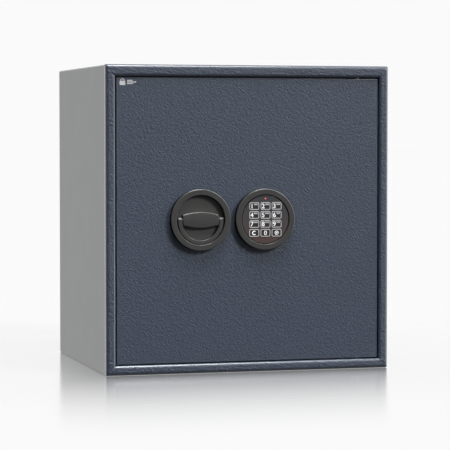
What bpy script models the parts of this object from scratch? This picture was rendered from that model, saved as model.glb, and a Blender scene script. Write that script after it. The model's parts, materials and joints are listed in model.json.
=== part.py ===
"""Wall safe with a concealed hinge, a folding-bail handle and a round keypad.

X runs to the right seen from the front, Y runs into the cabinet and Z is up. The origin is
under the middle of the object. Lengths are in metres. A depth is measured backwards from the
front plane of the cabinet's frame, so what stands proud of the frame has a negative depth.
"""

import math

import bmesh
import bpy
from mathutils import Vector
from mathutils.geometry import interpolate_bezier

MM = 0.001

# Cabinet
HEIGHT = 500 * MM
WIDTH = 478 * MM
DEPTH = 390 * MM
ROSETTE_PROUD = 6 * MM
FIT = 0.3 * MM
WALL = 4 * MM
BODY_INSET = 0.5 * MM
BODY_CORNER = 2.5 * MM
ANCHOR_HOLE = 7 * MM
ANCHOR_X = 140 * MM
ANCHOR_Z = 370 * MM
ANCHOR_DEPTH = 230 * MM

# Frame moulding and door stop
BEAD_WIDTH = 16 * MM
BEAD_TOP_WIDTH = 19 * MM
BEAD_DEPTH = 9 * MM
BEAD_OUTER_RADIUS = 6 * MM
BEAD_INNER_RADIUS = 5 * MM
FLANGE_DEPTH = 13 * MM
FLANGE_WIDTH = 4.2 * MM
STOP_WIDTH = 34 * MM
STOP_DEPTH = 11.5 * MM
STOP_THICKNESS = 4 * MM
STOP_RIGHT = 170 * MM

# Door
DOOR_GAP = 2 * MM
DOOR_RECESS = 4 * MM
PLATE_THICKNESS = 6 * MM
DOOR_HALF = WIDTH / 2 - BEAD_WIDTH - DOOR_GAP
DOOR_LOW = BEAD_WIDTH + DOOR_GAP
DOOR_HIGH = HEIGHT - BEAD_TOP_WIDTH - DOOR_GAP
PLATE_BACK = DOOR_RECESS + PLATE_THICKNESS
CASING_LEFT = -200 * MM
CASING_RIGHT = 213 * MM
CASING_LOW = 38 * MM
CASING_HIGH = 462 * MM
CASING_BACK = 56 * MM
CASING_WALL = 2 * MM
CASING_LIP = 14 * MM
COVER_THICKNESS = 1.5 * MM
COVER_SCREW_INSET = 8 * MM
COVER_SCREW_RADIUS = 2 * MM

# Concealed hinge, on a vertical axis
HINGE_X = 188 * MM
HINGE_DEPTH = 13.5 * MM
HINGE_PIN_RADIUS = 3 * MM
HINGE_BORE_RADIUS = 3.3 * MM
HINGE_COLLAR_RADIUS = 4.1 * MM

# Handle
HANDLE_X = -83.5 * MM
HANDLE_Z = 249.5 * MM
RING_RADIUS = 50 * MM
RING_BORE = 40.5 * MM
RING_EDGE = 1.6 * MM
DISH_FLOOR = 2 * MM
DISH_BACK = 3.5 * MM
BAR_FRONT = -5 * MM
BAR_HALF_LENGTH = 30 * MM
BAR_HALF_END = 8.5 * MM
BAR_HALF_MIDDLE = 13 * MM
BAIL_Z = HANDLE_Z + 0.5 * MM
BAIL_DEPTH = -3 * MM
BAIL_THICKNESS = 4 * MM
BAIL_INNER = 31.3 * MM
BAIL_OUTER = 37.6 * MM
BAIL_ARM = 2.7 * MM
BAIL_TIP = 1 * MM
BAIL_PIN_RADIUS = 1 * MM
SPINDLE_RADIUS = 6 * MM
SPINDLE_START = -1.2 * MM
SPINDLE_END = 19 * MM
SPINDLE_GROOVE = 5 * MM
SPINDLE_BORE = 6.2 * MM
BUSH_RADIUS = 8 * MM
CLIP_FRONT = 17 * MM
CLIP_BACK = 17.8 * MM
CRANK_THROW = 15 * MM
CRANK_FRONT = 12.6 * MM
CRANK_BACK = 16.6 * MM
CRANK_PIN_RADIUS = 4 * MM

# Boltwork
CARRIER_FRONT = 20 * MM
CARRIER_BACK = 24 * MM
CARRIER_FLANGE_BACK = 52 * MM
CARRIER_LOW = 85 * MM
CARRIER_HIGH = 415 * MM
CARRIER_LEFT = -149.7 * MM
CARRIER_WEB_RIGHT = -104 * MM
CARRIER_ARM_RIGHT = -41.4 * MM
CARRIER_ARM_LOW = 237 * MM
CARRIER_ARM_HIGH = 277 * MM
CARRIER_TAB_LOW = 229 * MM
CARRIER_TAB_LEFT = -49.4 * MM
BOLT_STROKE = 21.2 * MM
BOLT_RADIUS = 10 * MM
BOLT_DEPTH = 38 * MM
BOLT_HEIGHTS = (115 * MM, 249.5 * MM, 384 * MM)
SPIGOT_RADIUS = 6 * MM
GUIDE_X = -138.4 * MM
GUIDE_HEIGHTS = (165 * MM, 335 * MM)
GUIDE_RADIUS = 4 * MM

# Electronic lock and battery
LOCK_LEFT = -86.5 * MM
LOCK_RIGHT = -25.5 * MM
LOCK_LOW = 143 * MM
LOCK_HIGH = 224 * MM
LOCK_BACK = 43 * MM
LOCK_BOLT_LEFT = -62 * MM
LOCK_BOLT_RIGHT = -50 * MM
LOCK_BOLT_LOW = 196.5 * MM
LOCK_BOLT_HIGH = 226.5 * MM
LOCK_BOLT_FRONT = 17 * MM
LOCK_BOLT_BACK = 27 * MM
LOCK_SCREW_RADIUS = 2 * MM
CABLE_RADIUS = 2 * MM

# Keypad
KEYPAD_X = 25 * MM
KEYPAD_Z = 249.5 * MM
FASCIA_RADIUS = 39.3 * MM
FASCIA_FRONT = -4.6 * MM
FASCIA_BACK = -2.6 * MM
KEY_PITCH_X = 19 * MM
KEY_PITCH_Z = 14.6 * MM
KEY_WIDTH = 16.7 * MM
KEY_HEIGHT = 12.3 * MM
KEY_CORNER = 2.5 * MM
KEY_FRONT = -5.0 * MM
KEY_BACK = -0.8 * MM
LED_ABOVE = 33.8 * MM
LED_RADIUS = 1.2 * MM
LED_SHOULDER = -4.4 * MM

# Shelf and mat
SHELF_TOP = 252 * MM
SHELF_FRONT = 80 * MM
SHELF_BACK = 378 * MM
SHELF_THICKNESS = 1.5 * MM
SHELF_LIP = 16 * MM
RAIL_WIDTH = 15 * MM
MAT_THICKNESS = 2 * MM
MAT_FRONT = 70 * MM

WIDE_ROUND = 56
ROUND = 36
MEDIUM_ROUND = 24
SMALL_ROUND = 16
FRONT = ROSETTE_PROUD - (DEPTH + ROSETTE_PROUD) / 2
RADIAL = {"X": Vector((0, 0, 1)), "Y": Vector((1, 0, 0)), "Z": Vector((1, 0, 0))}
ALONG = {"X": Vector((1, 0, 0)), "Y": Vector((0, 1, 0)), "Z": Vector((0, 0, 1))}


def clear_scene():
    """Remove whatever objects the file starts with."""
    for item in list(bpy.data.objects):
        bpy.data.objects.remove(item, do_unlink=True)


def at(x, depth, z):
    """World position of a point given by its depth behind the frame's front plane."""
    return Vector((x, FRONT + depth, z))


# ---- materials ----

def material(name, colour, roughness, metallic=0.0):
    """One Principled material."""
    surface = bpy.data.materials.new(name)
    surface.use_nodes = True
    shader = surface.node_tree.nodes["Principled BSDF"]
    shader.inputs["Base Color"].default_value = (*colour, 1)
    shader.inputs["Roughness"].default_value = roughness
    shader.inputs["Metallic"].default_value = metallic
    surface.diffuse_color = (*colour, 1)
    return surface


def make_materials():
    """Every material that the sub-parts use, by name."""
    table = {
        "graphite_paint": ((0.060, 0.074, 0.100), 0.45, 0.0),
        "grey_paint": ((0.27, 0.28, 0.29), 0.40, 0.0),
        "satin_metal": ((0.058, 0.058, 0.056), 0.38, 0.5),
        "bright_steel": ((0.62, 0.62, 0.61), 0.28, 1.0),
        "zinc_steel": ((0.50, 0.50, 0.47), 0.36, 1.0),
        "brass": ((0.60, 0.44, 0.19), 0.35, 1.0),
        "dark_gloss": ((0.050, 0.046, 0.052), 0.20, 0.0),
        "key_plastic": ((0.045, 0.045, 0.048), 0.35, 0.0),
        "red_lens": ((0.80, 0.08, 0.09), 0.20, 0.0),
        "board_green": ((0.03, 0.16, 0.07), 0.45, 0.0),
        "black_plastic": ((0.025, 0.025, 0.027), 0.50, 0.0),
        "felt": ((0.055, 0.058, 0.065), 0.95, 0.0),
    }
    return {name: material(name, *values) for name, values in table.items()}


# ---- outlines ----

def arc(centre, radius, start, end, steps):
    """Points on a circle between two angles in degrees, both ends included."""
    points = []
    for step in range(steps + 1):
        angle = math.radians(start + (end - start) * step / steps)
        points.append((centre[0] + radius * math.cos(angle), centre[1] + radius * math.sin(angle)))
    return points


def rectangle(low_a, high_a, low_b, high_b):
    """A rectangle, anticlockwise."""
    return [(low_a, low_b), (high_a, low_b), (high_a, high_b), (low_a, high_b)]


def rounded_rectangle(low_a, high_a, low_b, high_b, radius, steps):
    """A rectangle with round corners, anticlockwise."""
    corners = (
        (low_a + radius, low_b + radius, 180),
        (high_a - radius, low_b + radius, 270),
        (high_a - radius, high_b - radius, 0),
        (low_a + radius, high_b - radius, 90),
    )
    points = []
    for a, b, start in corners:
        points += arc((a, b), radius, start, start + 90, steps)
    return points


def slot(start, end, half_width, steps=8):
    """A slot with round ends between two centres, along either axis."""
    heading = math.degrees(math.atan2(end[1] - start[1], end[0] - start[0]))
    first = arc(start, half_width, heading + 90, heading + 270, steps)
    return first + arc(end, half_width, heading - 90, heading + 90, steps)


# ---- solids ----

def prism(solid, outline, low, high, axis="Y"):
    """Add an outline pushed along an axis. Its two coordinates are the other axes, in order."""
    def corner(a, b, along):
        return {"X": (along, a, b), "Y": (a, along, b), "Z": (a, b, along)}[axis]

    rim = [solid.verts.new(corner(a, b, low)) for a, b in outline]
    base = solid.faces.new(rim)
    swept = bmesh.ops.extrude_face_region(solid, geom=[base])
    moved = [item for item in swept["geom"] if isinstance(item, bmesh.types.BMVert)]
    bmesh.ops.translate(solid, vec=ALONG[axis] * (high - low), verts=moved)
    return moved


def turned(solid, profile, centre, axis="Y", segments=ROUND, ring=False):
    """Add a solid of revolution from (radius, distance along the axis) points.

    A ring's profile closes on itself; any other profile starts and ends on the axis.
    """
    centre = Vector(centre)
    rim = []
    for radius, along in profile:
        rim.append(solid.verts.new(centre + RADIAL[axis] * radius + ALONG[axis] * along))
    edges = [solid.edges.new(pair) for pair in zip(rim, rim[1:])]
    if ring:
        edges.append(solid.edges.new((rim[-1], rim[0])))
    before = set(solid.verts) - set(rim)
    bmesh.ops.spin(solid, geom=rim + edges, cent=centre, axis=ALONG[axis], angle=math.tau,
                   steps=segments, use_merge=False)
    fresh = [vertex for vertex in solid.verts if vertex not in before]
    bmesh.ops.remove_doubles(solid, verts=fresh, dist=1e-6)


def rod(solid, radius, start, end, centre, axis="Y", segments=SMALL_ROUND):
    """Add a plain cylinder between two distances along its axis."""
    turned(solid, [(0, start), (radius, start), (radius, end), (0, end)], centre, axis, segments)


def loft_ring(solid, loops):
    """Add a tube-like solid through loops with equal point counts; the last joins the first."""
    rings = [[solid.verts.new(point) for point in loop] for loop in loops]
    for ring, following in zip(rings, rings[1:] + rings[:1]):
        count = len(ring)
        for index in range(count):
            after = (index + 1) % count
            solid.faces.new((ring[index], ring[after], following[after], following[index]))


# ---- objects ----

def world_position(item):
    """Position of an item whose ancestors are only ever translated."""
    place = item.location.copy()
    while item.parent:
        item = item.parent
        place += item.location
    return place


def axis_point(name, place, parent=None):
    """An empty that marks the axis or home position of a moving piece."""
    empty = bpy.data.objects.new(name, None)
    empty.empty_display_size = 20 * MM
    bpy.context.scene.collection.objects.link(empty)
    empty.parent = parent
    empty.location = place - (world_position(parent) if parent else Vector())
    return empty


def finish(name, solid, surface, home, parent=None):
    """Turn a solid modelled in world space into a named object whose origin is at home."""
    bmesh.ops.recalc_face_normals(solid, faces=solid.faces)
    bmesh.ops.translate(solid, vec=-home, verts=solid.verts)
    mesh = bpy.data.meshes.new(name)
    solid.to_mesh(mesh)
    solid.free()
    mesh.shade_smooth()
    mesh.set_sharp_from_angle(angle=math.radians(32))
    item = bpy.data.objects.new(name, mesh)
    bpy.context.scene.collection.objects.link(item)
    if surface:
        mesh.materials.append(surface)
    item.parent = parent
    item.location = home - (world_position(parent) if parent else Vector())
    return item


def boolean(target, solid, operation="DIFFERENCE"):
    """Cut or join a hidden guide shape, modelled in world space, to a target."""
    guide = finish(target.name + "_guide", solid, None, Vector())
    guide.hide_render = True
    guide.display_type = "WIRE"
    step = target.modifiers.new(operation.title(), "BOOLEAN")
    step.operation = operation
    step.solver = "EXACT"
    step.object = guide


def bevel(target, width, segments=1, angle=40):
    """Round the edges that are sharper than an angle."""
    step = target.modifiers.new("Bevel", "BEVEL")
    step.width = width
    step.segments = segments
    step.limit_method = "ANGLE"
    step.angle_limit = math.radians(angle)


# ---- cabinet ----

def moulding_section():
    """Half-round section of the frame, with a flange behind its outer edge.

    Its points are (inset from the outer edge, share of the top rail's extra width, depth).
    """
    outer = arc((BEAD_OUTER_RADIUS, BEAD_OUTER_RADIUS), BEAD_OUTER_RADIUS, 180, 270, 5)
    inner_centre = (BEAD_WIDTH - BEAD_INNER_RADIUS, BEAD_INNER_RADIUS)
    inner = arc(inner_centre, BEAD_INNER_RADIUS, 270, 360, 5)
    section = [(0, 0, FLANGE_DEPTH)]
    section += [(inset, 0, depth) for inset, depth in outer]
    section += [(inset, 1, depth) for inset, depth in inner]
    section += [
        (BEAD_WIDTH, 1, BEAD_DEPTH), (FLANGE_WIDTH, 0, BEAD_DEPTH), (FLANGE_WIDTH, 0, FLANGE_DEPTH),
    ]
    return section


def front_frame(surfaces):
    """The moulding all round the door, mitred at its corners and wider at the top."""
    solid = bmesh.new()
    loops = []
    for inset, share, depth in moulding_section():
        half = WIDTH / 2 - inset
        top = HEIGHT - inset - share * (BEAD_TOP_WIDTH - BEAD_WIDTH)
        outline = rectangle(-half, half, inset, top)
        loops.append([at(x, depth, z) for x, z in outline])
    loft_ring(solid, loops)
    finish("front_frame", solid, surfaces["graphite_paint"], at(0, 0, HEIGHT / 2))


def body_outline(inset, radius):
    """Outline of the cabinet's folded body, flush with the floor."""
    half = WIDTH / 2 - BODY_INSET - inset
    top = HEIGHT - BODY_INSET - inset
    return rounded_rectangle(-half, half, inset, top, radius, 3)


def anchor_holes(height):
    """Cutters for the two anchor holes in the cabinet's floor."""
    cutter = bmesh.new()
    for side in (-1, 1):
        centre = at(side * ANCHOR_X, ANCHOR_DEPTH, 0)
        rod(cutter, ANCHOR_HOLE, -WALL, height, centre, "Z")
    return cutter


def body_wrap(surfaces):
    """Folded sheet that forms the sides, the top and the floor."""
    solid = bmesh.new()
    outer = body_outline(0, BODY_CORNER)
    inner = body_outline(WALL, BODY_CORNER / 5)
    front = FLANGE_DEPTH + FIT
    loops = []
    for outline, depth in ((outer, front), (outer, DEPTH), (inner, DEPTH), (inner, front)):
        loops.append([at(x, depth, z) for x, z in outline])
    loft_ring(solid, loops)
    item = finish("body_wrap", solid, surfaces["grey_paint"], at(0, DEPTH / 2, HEIGHT / 2))
    boolean(item, anchor_holes(2 * WALL))


def back_panel(surfaces):
    """Rear wall set inside the wrap, with two holes for wall anchors."""
    half = WIDTH / 2 - BODY_INSET - WALL - FIT
    top = HEIGHT - BODY_INSET - WALL - FIT
    solid = bmesh.new()
    prism(solid, rectangle(-half, half, WALL + FIT, top), FRONT + DEPTH - WALL, FRONT + DEPTH)
    item = finish("back_panel", solid, surfaces["grey_paint"], at(0, DEPTH, HEIGHT / 2))
    cutter = bmesh.new()
    for side in (-1, 1):
        centre = at(side * ANCHOR_X, DEPTH, ANCHOR_Z)
        rod(cutter, ANCHOR_HOLE, -2 * WALL, WALL, centre)
    boolean(item, cutter)


def door_stop(surfaces):
    """C-shaped flange behind the door's left, top and bottom edges; the bolts lock behind it."""
    left = WIDTH / 2 - BODY_INSET - WALL - FIT
    inner = WIDTH / 2 - STOP_WIDTH
    low = WALL + FIT
    high = HEIGHT - BODY_INSET - WALL - FIT
    outline = [
        (-left, low), (STOP_RIGHT, low), (STOP_RIGHT, STOP_WIDTH), (-inner, STOP_WIDTH),
        (-inner, HEIGHT - STOP_WIDTH), (STOP_RIGHT, HEIGHT - STOP_WIDTH), (STOP_RIGHT, high),
        (-left, high),
    ]
    solid = bmesh.new()
    prism(solid, outline, FRONT + STOP_DEPTH, FRONT + STOP_DEPTH + STOP_THICKNESS)
    finish("door_stop", solid, surfaces["graphite_paint"], at(-left, STOP_DEPTH, HEIGHT / 2))


def hinge_bracket(name, low, high, surfaces, collar_top=None):
    """Bearing block of the cabinet that holds one hinge pin."""
    half_width = 12 * MM
    back = 24 * MM
    axis = at(HINGE_X, HINGE_DEPTH, 0)
    outline = rectangle(HINGE_X - half_width, HINGE_X + half_width, low, high)
    solid = bmesh.new()
    prism(solid, outline, FRONT + BEAD_DEPTH + FIT, FRONT + back)
    item = finish(name, solid, surfaces["zinc_steel"], at(HINGE_X, HINGE_DEPTH, low))
    if collar_top:
        collar = bmesh.new()
        rod(collar, HINGE_COLLAR_RADIUS, low + WALL, collar_top, axis, "Z")
        boolean(item, collar, "UNION")
    bore = bmesh.new()
    rod(bore, HINGE_BORE_RADIUS, low - WALL, (collar_top or high) + WALL, axis, "Z")
    boolean(item, bore)


def hinge_brackets(surfaces):
    """Upper and lower bearing blocks, behind the moulding on the right."""
    low = WALL + FIT
    high = HEIGHT - BODY_INSET - WALL - FIT
    door_clear = 0.4 * MM
    door_lift = 2.2 * MM
    block_height = 11 * MM
    hinge_bracket("hinge_bracket_upper", DOOR_HIGH + door_lift, high, surfaces)
    collar_top = DOOR_LOW + FIT - door_clear
    hinge_bracket("hinge_bracket_lower", low, low + block_height, surfaces, collar_top)


def shelf(surfaces):
    """Folded shelf, its section pushed from side to side."""
    front, back = FRONT + SHELF_FRONT, FRONT + SHELF_BACK
    under = SHELF_TOP - SHELF_THICKNESS
    lip = SHELF_TOP - SHELF_LIP
    section = [
        (front, lip), (front + SHELF_THICKNESS, lip), (front + SHELF_THICKNESS, under),
        (back - SHELF_THICKNESS, under), (back - SHELF_THICKNESS, lip), (back, lip),
        (back, SHELF_TOP), (front, SHELF_TOP),
    ]
    half = WIDTH / 2 - BODY_INSET - WALL - 1.5 * MM
    solid = bmesh.new()
    prism(solid, section, -half, half, "X")
    finish("shelf", solid, surfaces["grey_paint"], at(0, SHELF_FRONT, SHELF_TOP))


def shelf_rails(surfaces):
    """Angle rails on the side walls that carry the shelf."""
    wall = WIDTH / 2 - BODY_INSET - WALL - FIT
    top = SHELF_TOP - SHELF_THICKNESS - FIT
    thickness = 1.5 * MM
    front = FRONT + SHELF_FRONT + 4 * MM
    back = FRONT + SHELF_BACK - 4 * MM
    for name, side in (("shelf_rail_left", -1), ("shelf_rail_right", 1)):
        section = [
            (wall, top), (wall - RAIL_WIDTH, top), (wall - RAIL_WIDTH, top - thickness),
            (wall - thickness, top - thickness), (wall - thickness, top - RAIL_WIDTH),
            (wall, top - RAIL_WIDTH),
        ]
        solid = bmesh.new()
        prism(solid, [(side * x, z) for x, z in section], front, back)
        finish(name, solid, surfaces["zinc_steel"], Vector((side * wall, front, top)))


def floor_mat(surfaces):
    """Felt mat with openings over the anchor holes."""
    half = WIDTH / 2 - 14 * MM
    low = WALL + FIT
    back = FRONT + DEPTH - 10 * MM
    outline = rounded_rectangle(-half, half, FRONT + MAT_FRONT, back, 6 * MM, 3)
    solid = bmesh.new()
    prism(solid, outline, low, low + MAT_THICKNESS, "Z")
    item = finish("floor_mat", solid, surfaces["felt"], at(0, MAT_FRONT, low))
    cutter = bmesh.new()
    for side in (-1, 1):
        rod(cutter, 1.5 * ANCHOR_HOLE, 0, 4 * WALL, at(side * ANCHOR_X, ANCHOR_DEPTH, 0), "Z")
    boolean(item, cutter)


# ---- door ----

def door_plate(surfaces, door):
    """Front plate with the holes for the handle's bush and the keypad's cable."""
    cable_hole = 6 * MM
    solid = bmesh.new()
    outline = rectangle(-DOOR_HALF, DOOR_HALF, DOOR_LOW, DOOR_HIGH)
    prism(solid, outline, FRONT + DOOR_RECESS, FRONT + PLATE_BACK)
    item = finish("door_plate", solid, surfaces["graphite_paint"],
                  at(0, DOOR_RECESS, HEIGHT / 2), door)
    cutter = bmesh.new()
    rod(cutter, BUSH_RADIUS + FIT, 0, 2 * PLATE_BACK, at(HANDLE_X, 0, HANDLE_Z))
    rod(cutter, cable_hole, 0, 2 * PLATE_BACK, at(KEYPAD_X, 0, KEYPAD_Z))
    boolean(item, cutter)


def cover_screw_places():
    """Where the rear cover's screws go, in X and Z."""
    inset = CASING_WALL + COVER_SCREW_INSET
    return [
        (x, z)
        for z in (CASING_LOW + inset, CASING_HIGH - inset)
        for x in (CASING_LEFT + inset, CASING_RIGHT - inset)
    ]


def casing_hollow(wall):
    """Outline of the casing's inside at a distance from its outer faces."""
    return rectangle(CASING_LEFT + wall, CASING_RIGHT - wall, CASING_LOW + wall, CASING_HIGH - wall)


def door_casing(surfaces, door):
    """Four folded walls with a rear lip; the left wall has the three bolt holes."""
    bolt_hole = BOLT_RADIUS + 0.5 * MM
    lip_front = CASING_BACK - CASING_WALL
    solid = bmesh.new()
    loops = (
        (casing_hollow(0), PLATE_BACK + FIT), (casing_hollow(0), CASING_BACK),
        (casing_hollow(CASING_LIP), CASING_BACK), (casing_hollow(CASING_LIP), lip_front),
        (casing_hollow(CASING_WALL), lip_front), (casing_hollow(CASING_WALL), PLATE_BACK + FIT),
    )
    loft_ring(solid, [[at(x, depth, z) for x, z in outline] for outline, depth in loops])
    item = finish("door_casing", solid, surfaces["grey_paint"], at(0, PLATE_BACK, HEIGHT / 2), door)
    cutter = bmesh.new()
    for height in BOLT_HEIGHTS:
        centre = at(CASING_LEFT, BOLT_DEPTH, height)
        rod(cutter, bolt_hole, -WALL, 2 * WALL, centre, "X", MEDIUM_ROUND)
    for x, z in cover_screw_places():
        rod(cutter, COVER_SCREW_RADIUS + FIT, lip_front - WALL, CASING_BACK + WALL, at(x, 0, z))
    boolean(item, cutter)


def rear_cover(surfaces, door):
    """Sheet that closes the casing."""
    front = CASING_BACK + FIT
    solid = bmesh.new()
    prism(solid, casing_hollow(0), FRONT + front, FRONT + front + COVER_THICKNESS)
    item = finish("rear_cover", solid, surfaces["grey_paint"], at(0, front, HEIGHT / 2), door)
    cutter = bmesh.new()
    for x, z in cover_screw_places():
        rod(cutter, COVER_SCREW_RADIUS + FIT, front - WALL, front + WALL, at(x, 0, z))
    boolean(item, cutter)


def cover_screws(surfaces, door):
    """Pan-head screws that hold the rear cover."""
    seat = CASING_BACK + COVER_THICKNESS + 2 * FIT
    shank = -7 * MM
    head = 2.2 * MM
    head_radius = 4 * MM
    for number, (x, z) in enumerate(cover_screw_places(), 1):
        profile = [
            (0, shank), (COVER_SCREW_RADIUS, shank), (COVER_SCREW_RADIUS, 0),
            (head_radius, 0), (head_radius, 0.4 * head), (0.8 * head_radius, 0.8 * head),
            (0, head),
        ]
        solid = bmesh.new()
        turned(solid, profile, at(x, seat, z), segments=SMALL_ROUND)
        finish("cover_screw_%d" % number, solid, surfaces["zinc_steel"], at(x, seat, z), door)


def hinge_door_side(surfaces, door):
    """Blocks on the casing's top and bottom, each with a pin that turns in a bracket."""
    half_width = 10 * MM
    back = 20.3 * MM
    pin_play = 0.15 * MM
    pin_tip = 5.5 * MM
    pin_root = 34 * MM
    chamfer = 0.6 * MM
    ends = (
        ("lower", DOOR_LOW + FIT, CASING_LOW - FIT, pin_tip, pin_root),
        ("upper", CASING_HIGH + FIT, DOOR_HIGH - FIT, HEIGHT - pin_root, HEIGHT - pin_tip),
    )
    for end, low, high, pin_low, pin_high in ends:
        axis = at(HINGE_X, HINGE_DEPTH, 0)
        outline = rectangle(HINGE_X - half_width, HINGE_X + half_width, low, high)
        solid = bmesh.new()
        prism(solid, outline, FRONT + PLATE_BACK + FIT, FRONT + back)
        block = finish("hinge_block_" + end, solid, surfaces["zinc_steel"],
                       at(HINGE_X, HINGE_DEPTH, low), door)
        bore = bmesh.new()
        rod(bore, HINGE_PIN_RADIUS + pin_play, low - WALL, high + WALL, axis, "Z")
        boolean(block, bore)
        profile = [
            (0, pin_low), (HINGE_PIN_RADIUS - chamfer, pin_low),
            (HINGE_PIN_RADIUS, pin_low + chamfer), (HINGE_PIN_RADIUS, pin_high - chamfer),
            (HINGE_PIN_RADIUS - chamfer, pin_high), (0, pin_high),
        ]
        pin = bmesh.new()
        turned(pin, profile, axis, "Z", SMALL_ROUND)
        finish("hinge_pin_" + end, pin, surfaces["bright_steel"],
               at(HINGE_X, HINGE_DEPTH, pin_low), door)


def claw_strip(surfaces, door):
    """Fixed strip that reaches behind the frame on the hinge side."""
    left = CASING_RIGHT + FIT
    right = 229 * MM
    low, high = 60 * MM, 440 * MM
    front, back = FRONT + 12.5 * MM, FRONT + 20.5 * MM
    chamfer = 2 * MM
    outline = [
        (left, front), (right - chamfer, front), (right, front + chamfer),
        (right, back - chamfer), (right - chamfer, back), (left, back),
    ]
    solid = bmesh.new()
    prism(solid, outline, low, high, "Z")
    finish("claw_strip", solid, surfaces["zinc_steel"], Vector((left, front, HEIGHT / 2)), door)


def guide_studs(surfaces, door):
    """Shouldered studs on the plate's back that the bolt carrier slides on."""
    clear = 0.4 * MM
    foot_radius, foot_back = 8 * MM, 12.3 * MM
    shoulder_radius = 6.5 * MM
    head_radius, head_back = 7 * MM, 27 * MM
    for name, height in zip(("guide_stud_lower", "guide_stud_upper"), GUIDE_HEIGHTS):
        profile = [
            (0, PLATE_BACK + FIT), (foot_radius, PLATE_BACK + FIT), (foot_radius, foot_back),
            (shoulder_radius, foot_back), (shoulder_radius, CARRIER_FRONT - clear),
            (GUIDE_RADIUS, CARRIER_FRONT - clear), (GUIDE_RADIUS, CARRIER_BACK + clear),
            (head_radius, CARRIER_BACK + clear), (head_radius, head_back), (0, head_back),
        ]
        solid = bmesh.new()
        turned(solid, profile, at(GUIDE_X, 0, height), segments=SMALL_ROUND)
        finish(name, solid, surfaces["bright_steel"], at(GUIDE_X, PLATE_BACK, height), door)


# ---- handle ----

def rosette(name, x, z, surface, door):
    """Round ring with softened edges that stands on the door plate."""
    front = -ROSETTE_PROUD
    back = DOOR_RECESS - FIT
    lead = 1 * MM
    outer_edge = arc((RING_RADIUS - RING_EDGE, front + RING_EDGE), RING_EDGE, 0, -90, 3)
    profile = [(RING_BORE, back), (RING_RADIUS, back)] + outer_edge
    profile += [(RING_BORE + lead, front), (RING_BORE, front + lead)]
    solid = bmesh.new()
    turned(solid, profile, at(x, 0, z), segments=WIDE_ROUND, ring=True)
    finish(name, solid, surface, at(x, back, z), door)


def spindle_bush(surfaces, door):
    """Flanged brass bearing in the door plate."""
    flange_radius, flange_back = 13 * MM, 12 * MM
    profile = [
        (SPINDLE_BORE, DOOR_RECESS + FIT), (BUSH_RADIUS, DOOR_RECESS + FIT),
        (BUSH_RADIUS, PLATE_BACK + FIT), (flange_radius, PLATE_BACK + FIT),
        (flange_radius, flange_back), (SPINDLE_BORE, flange_back),
    ]
    solid = bmesh.new()
    turned(solid, profile, at(HANDLE_X, 0, HANDLE_Z), segments=MEDIUM_ROUND, ring=True)
    finish("spindle_bush", solid, surfaces["brass"], at(HANDLE_X, PLATE_BACK, HANDLE_Z), door)


def bar_outline():
    """Lens-shaped outline of the grip bar, in X and Z."""
    rise = BAR_HALF_MIDDLE - BAR_HALF_END
    radius = (BAR_HALF_LENGTH ** 2 + rise ** 2) / (2 * rise)
    spread = math.degrees(math.asin(BAR_HALF_LENGTH / radius))
    below = BAR_HALF_MIDDLE - radius
    upper = arc((0, below), radius, 90 - spread, 90 + spread, 12)
    lower = arc((0, -below), radius, 270 - spread, 270 + spread, 12)
    return [(HANDLE_X + x, HANDLE_Z + z) for x, z in upper + lower]


def handle_dish(surfaces, handle):
    """Turning dish with the grip bar that the bail hangs on."""
    radius = RING_BORE - FIT
    chamfer = 0.4 * MM
    bar_sunk = 0.5 * MM
    bar_edge = 1 * MM
    solid = bmesh.new()
    profile = [
        (0, DISH_FLOOR), (radius - chamfer, DISH_FLOOR), (radius, DISH_FLOOR + chamfer),
        (radius, DISH_BACK), (0, DISH_BACK),
    ]
    turned(solid, profile, at(HANDLE_X, 0, HANDLE_Z), segments=WIDE_ROUND)
    item = finish("handle_dish", solid, surfaces["satin_metal"],
                  at(HANDLE_X, DISH_FLOOR, HANDLE_Z), handle)
    bar = bmesh.new()
    top = prism(bar, bar_outline(), FRONT + DISH_BACK - bar_sunk, FRONT + BAR_FRONT)
    rim = [edge for edge in bar.edges if all(vertex in top for vertex in edge.verts)]
    bmesh.ops.bevel(bar, geom=rim, offset=bar_edge, segments=2, profile=0.5, affect="EDGES")
    boolean(item, bar, "UNION")
    cutter = bmesh.new()
    rod(cutter, SPINDLE_RADIUS + FIT, SPINDLE_START - FIT, DISH_BACK + WALL,
        at(HANDLE_X, 0, HANDLE_Z))
    boolean(item, cutter)
    pin_hole = bmesh.new()
    rod(pin_hole, BAIL_PIN_RADIUS + FIT, -RING_BORE, RING_BORE, at(HANDLE_X, BAIL_DEPTH, BAIL_Z),
        "X", 12)
    boolean(item, pin_hole)


def spindle(surfaces, handle):
    """Shaft from the bar through the door plate, grooved for its circlip."""
    play = 0.1 * MM
    groove_front, groove_back = CLIP_FRONT - play, CLIP_BACK + play
    profile = [
        (0, SPINDLE_START), (SPINDLE_RADIUS, SPINDLE_START), (SPINDLE_RADIUS, groove_front),
        (SPINDLE_GROOVE, groove_front), (SPINDLE_GROOVE, groove_back),
        (SPINDLE_RADIUS, groove_back), (SPINDLE_RADIUS, SPINDLE_END), (0, SPINDLE_END),
    ]
    solid = bmesh.new()
    turned(solid, profile, at(HANDLE_X, 0, HANDLE_Z), segments=MEDIUM_ROUND)
    finish("spindle", solid, surfaces["bright_steel"], at(HANDLE_X, PLATE_BACK, HANDLE_Z), handle)


def crank_pin_place():
    """Where the crank pin stands with the bolts drawn back."""
    reach = CRANK_THROW * math.sqrt(0.5)
    return HANDLE_X + reach, HANDLE_Z + reach


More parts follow.
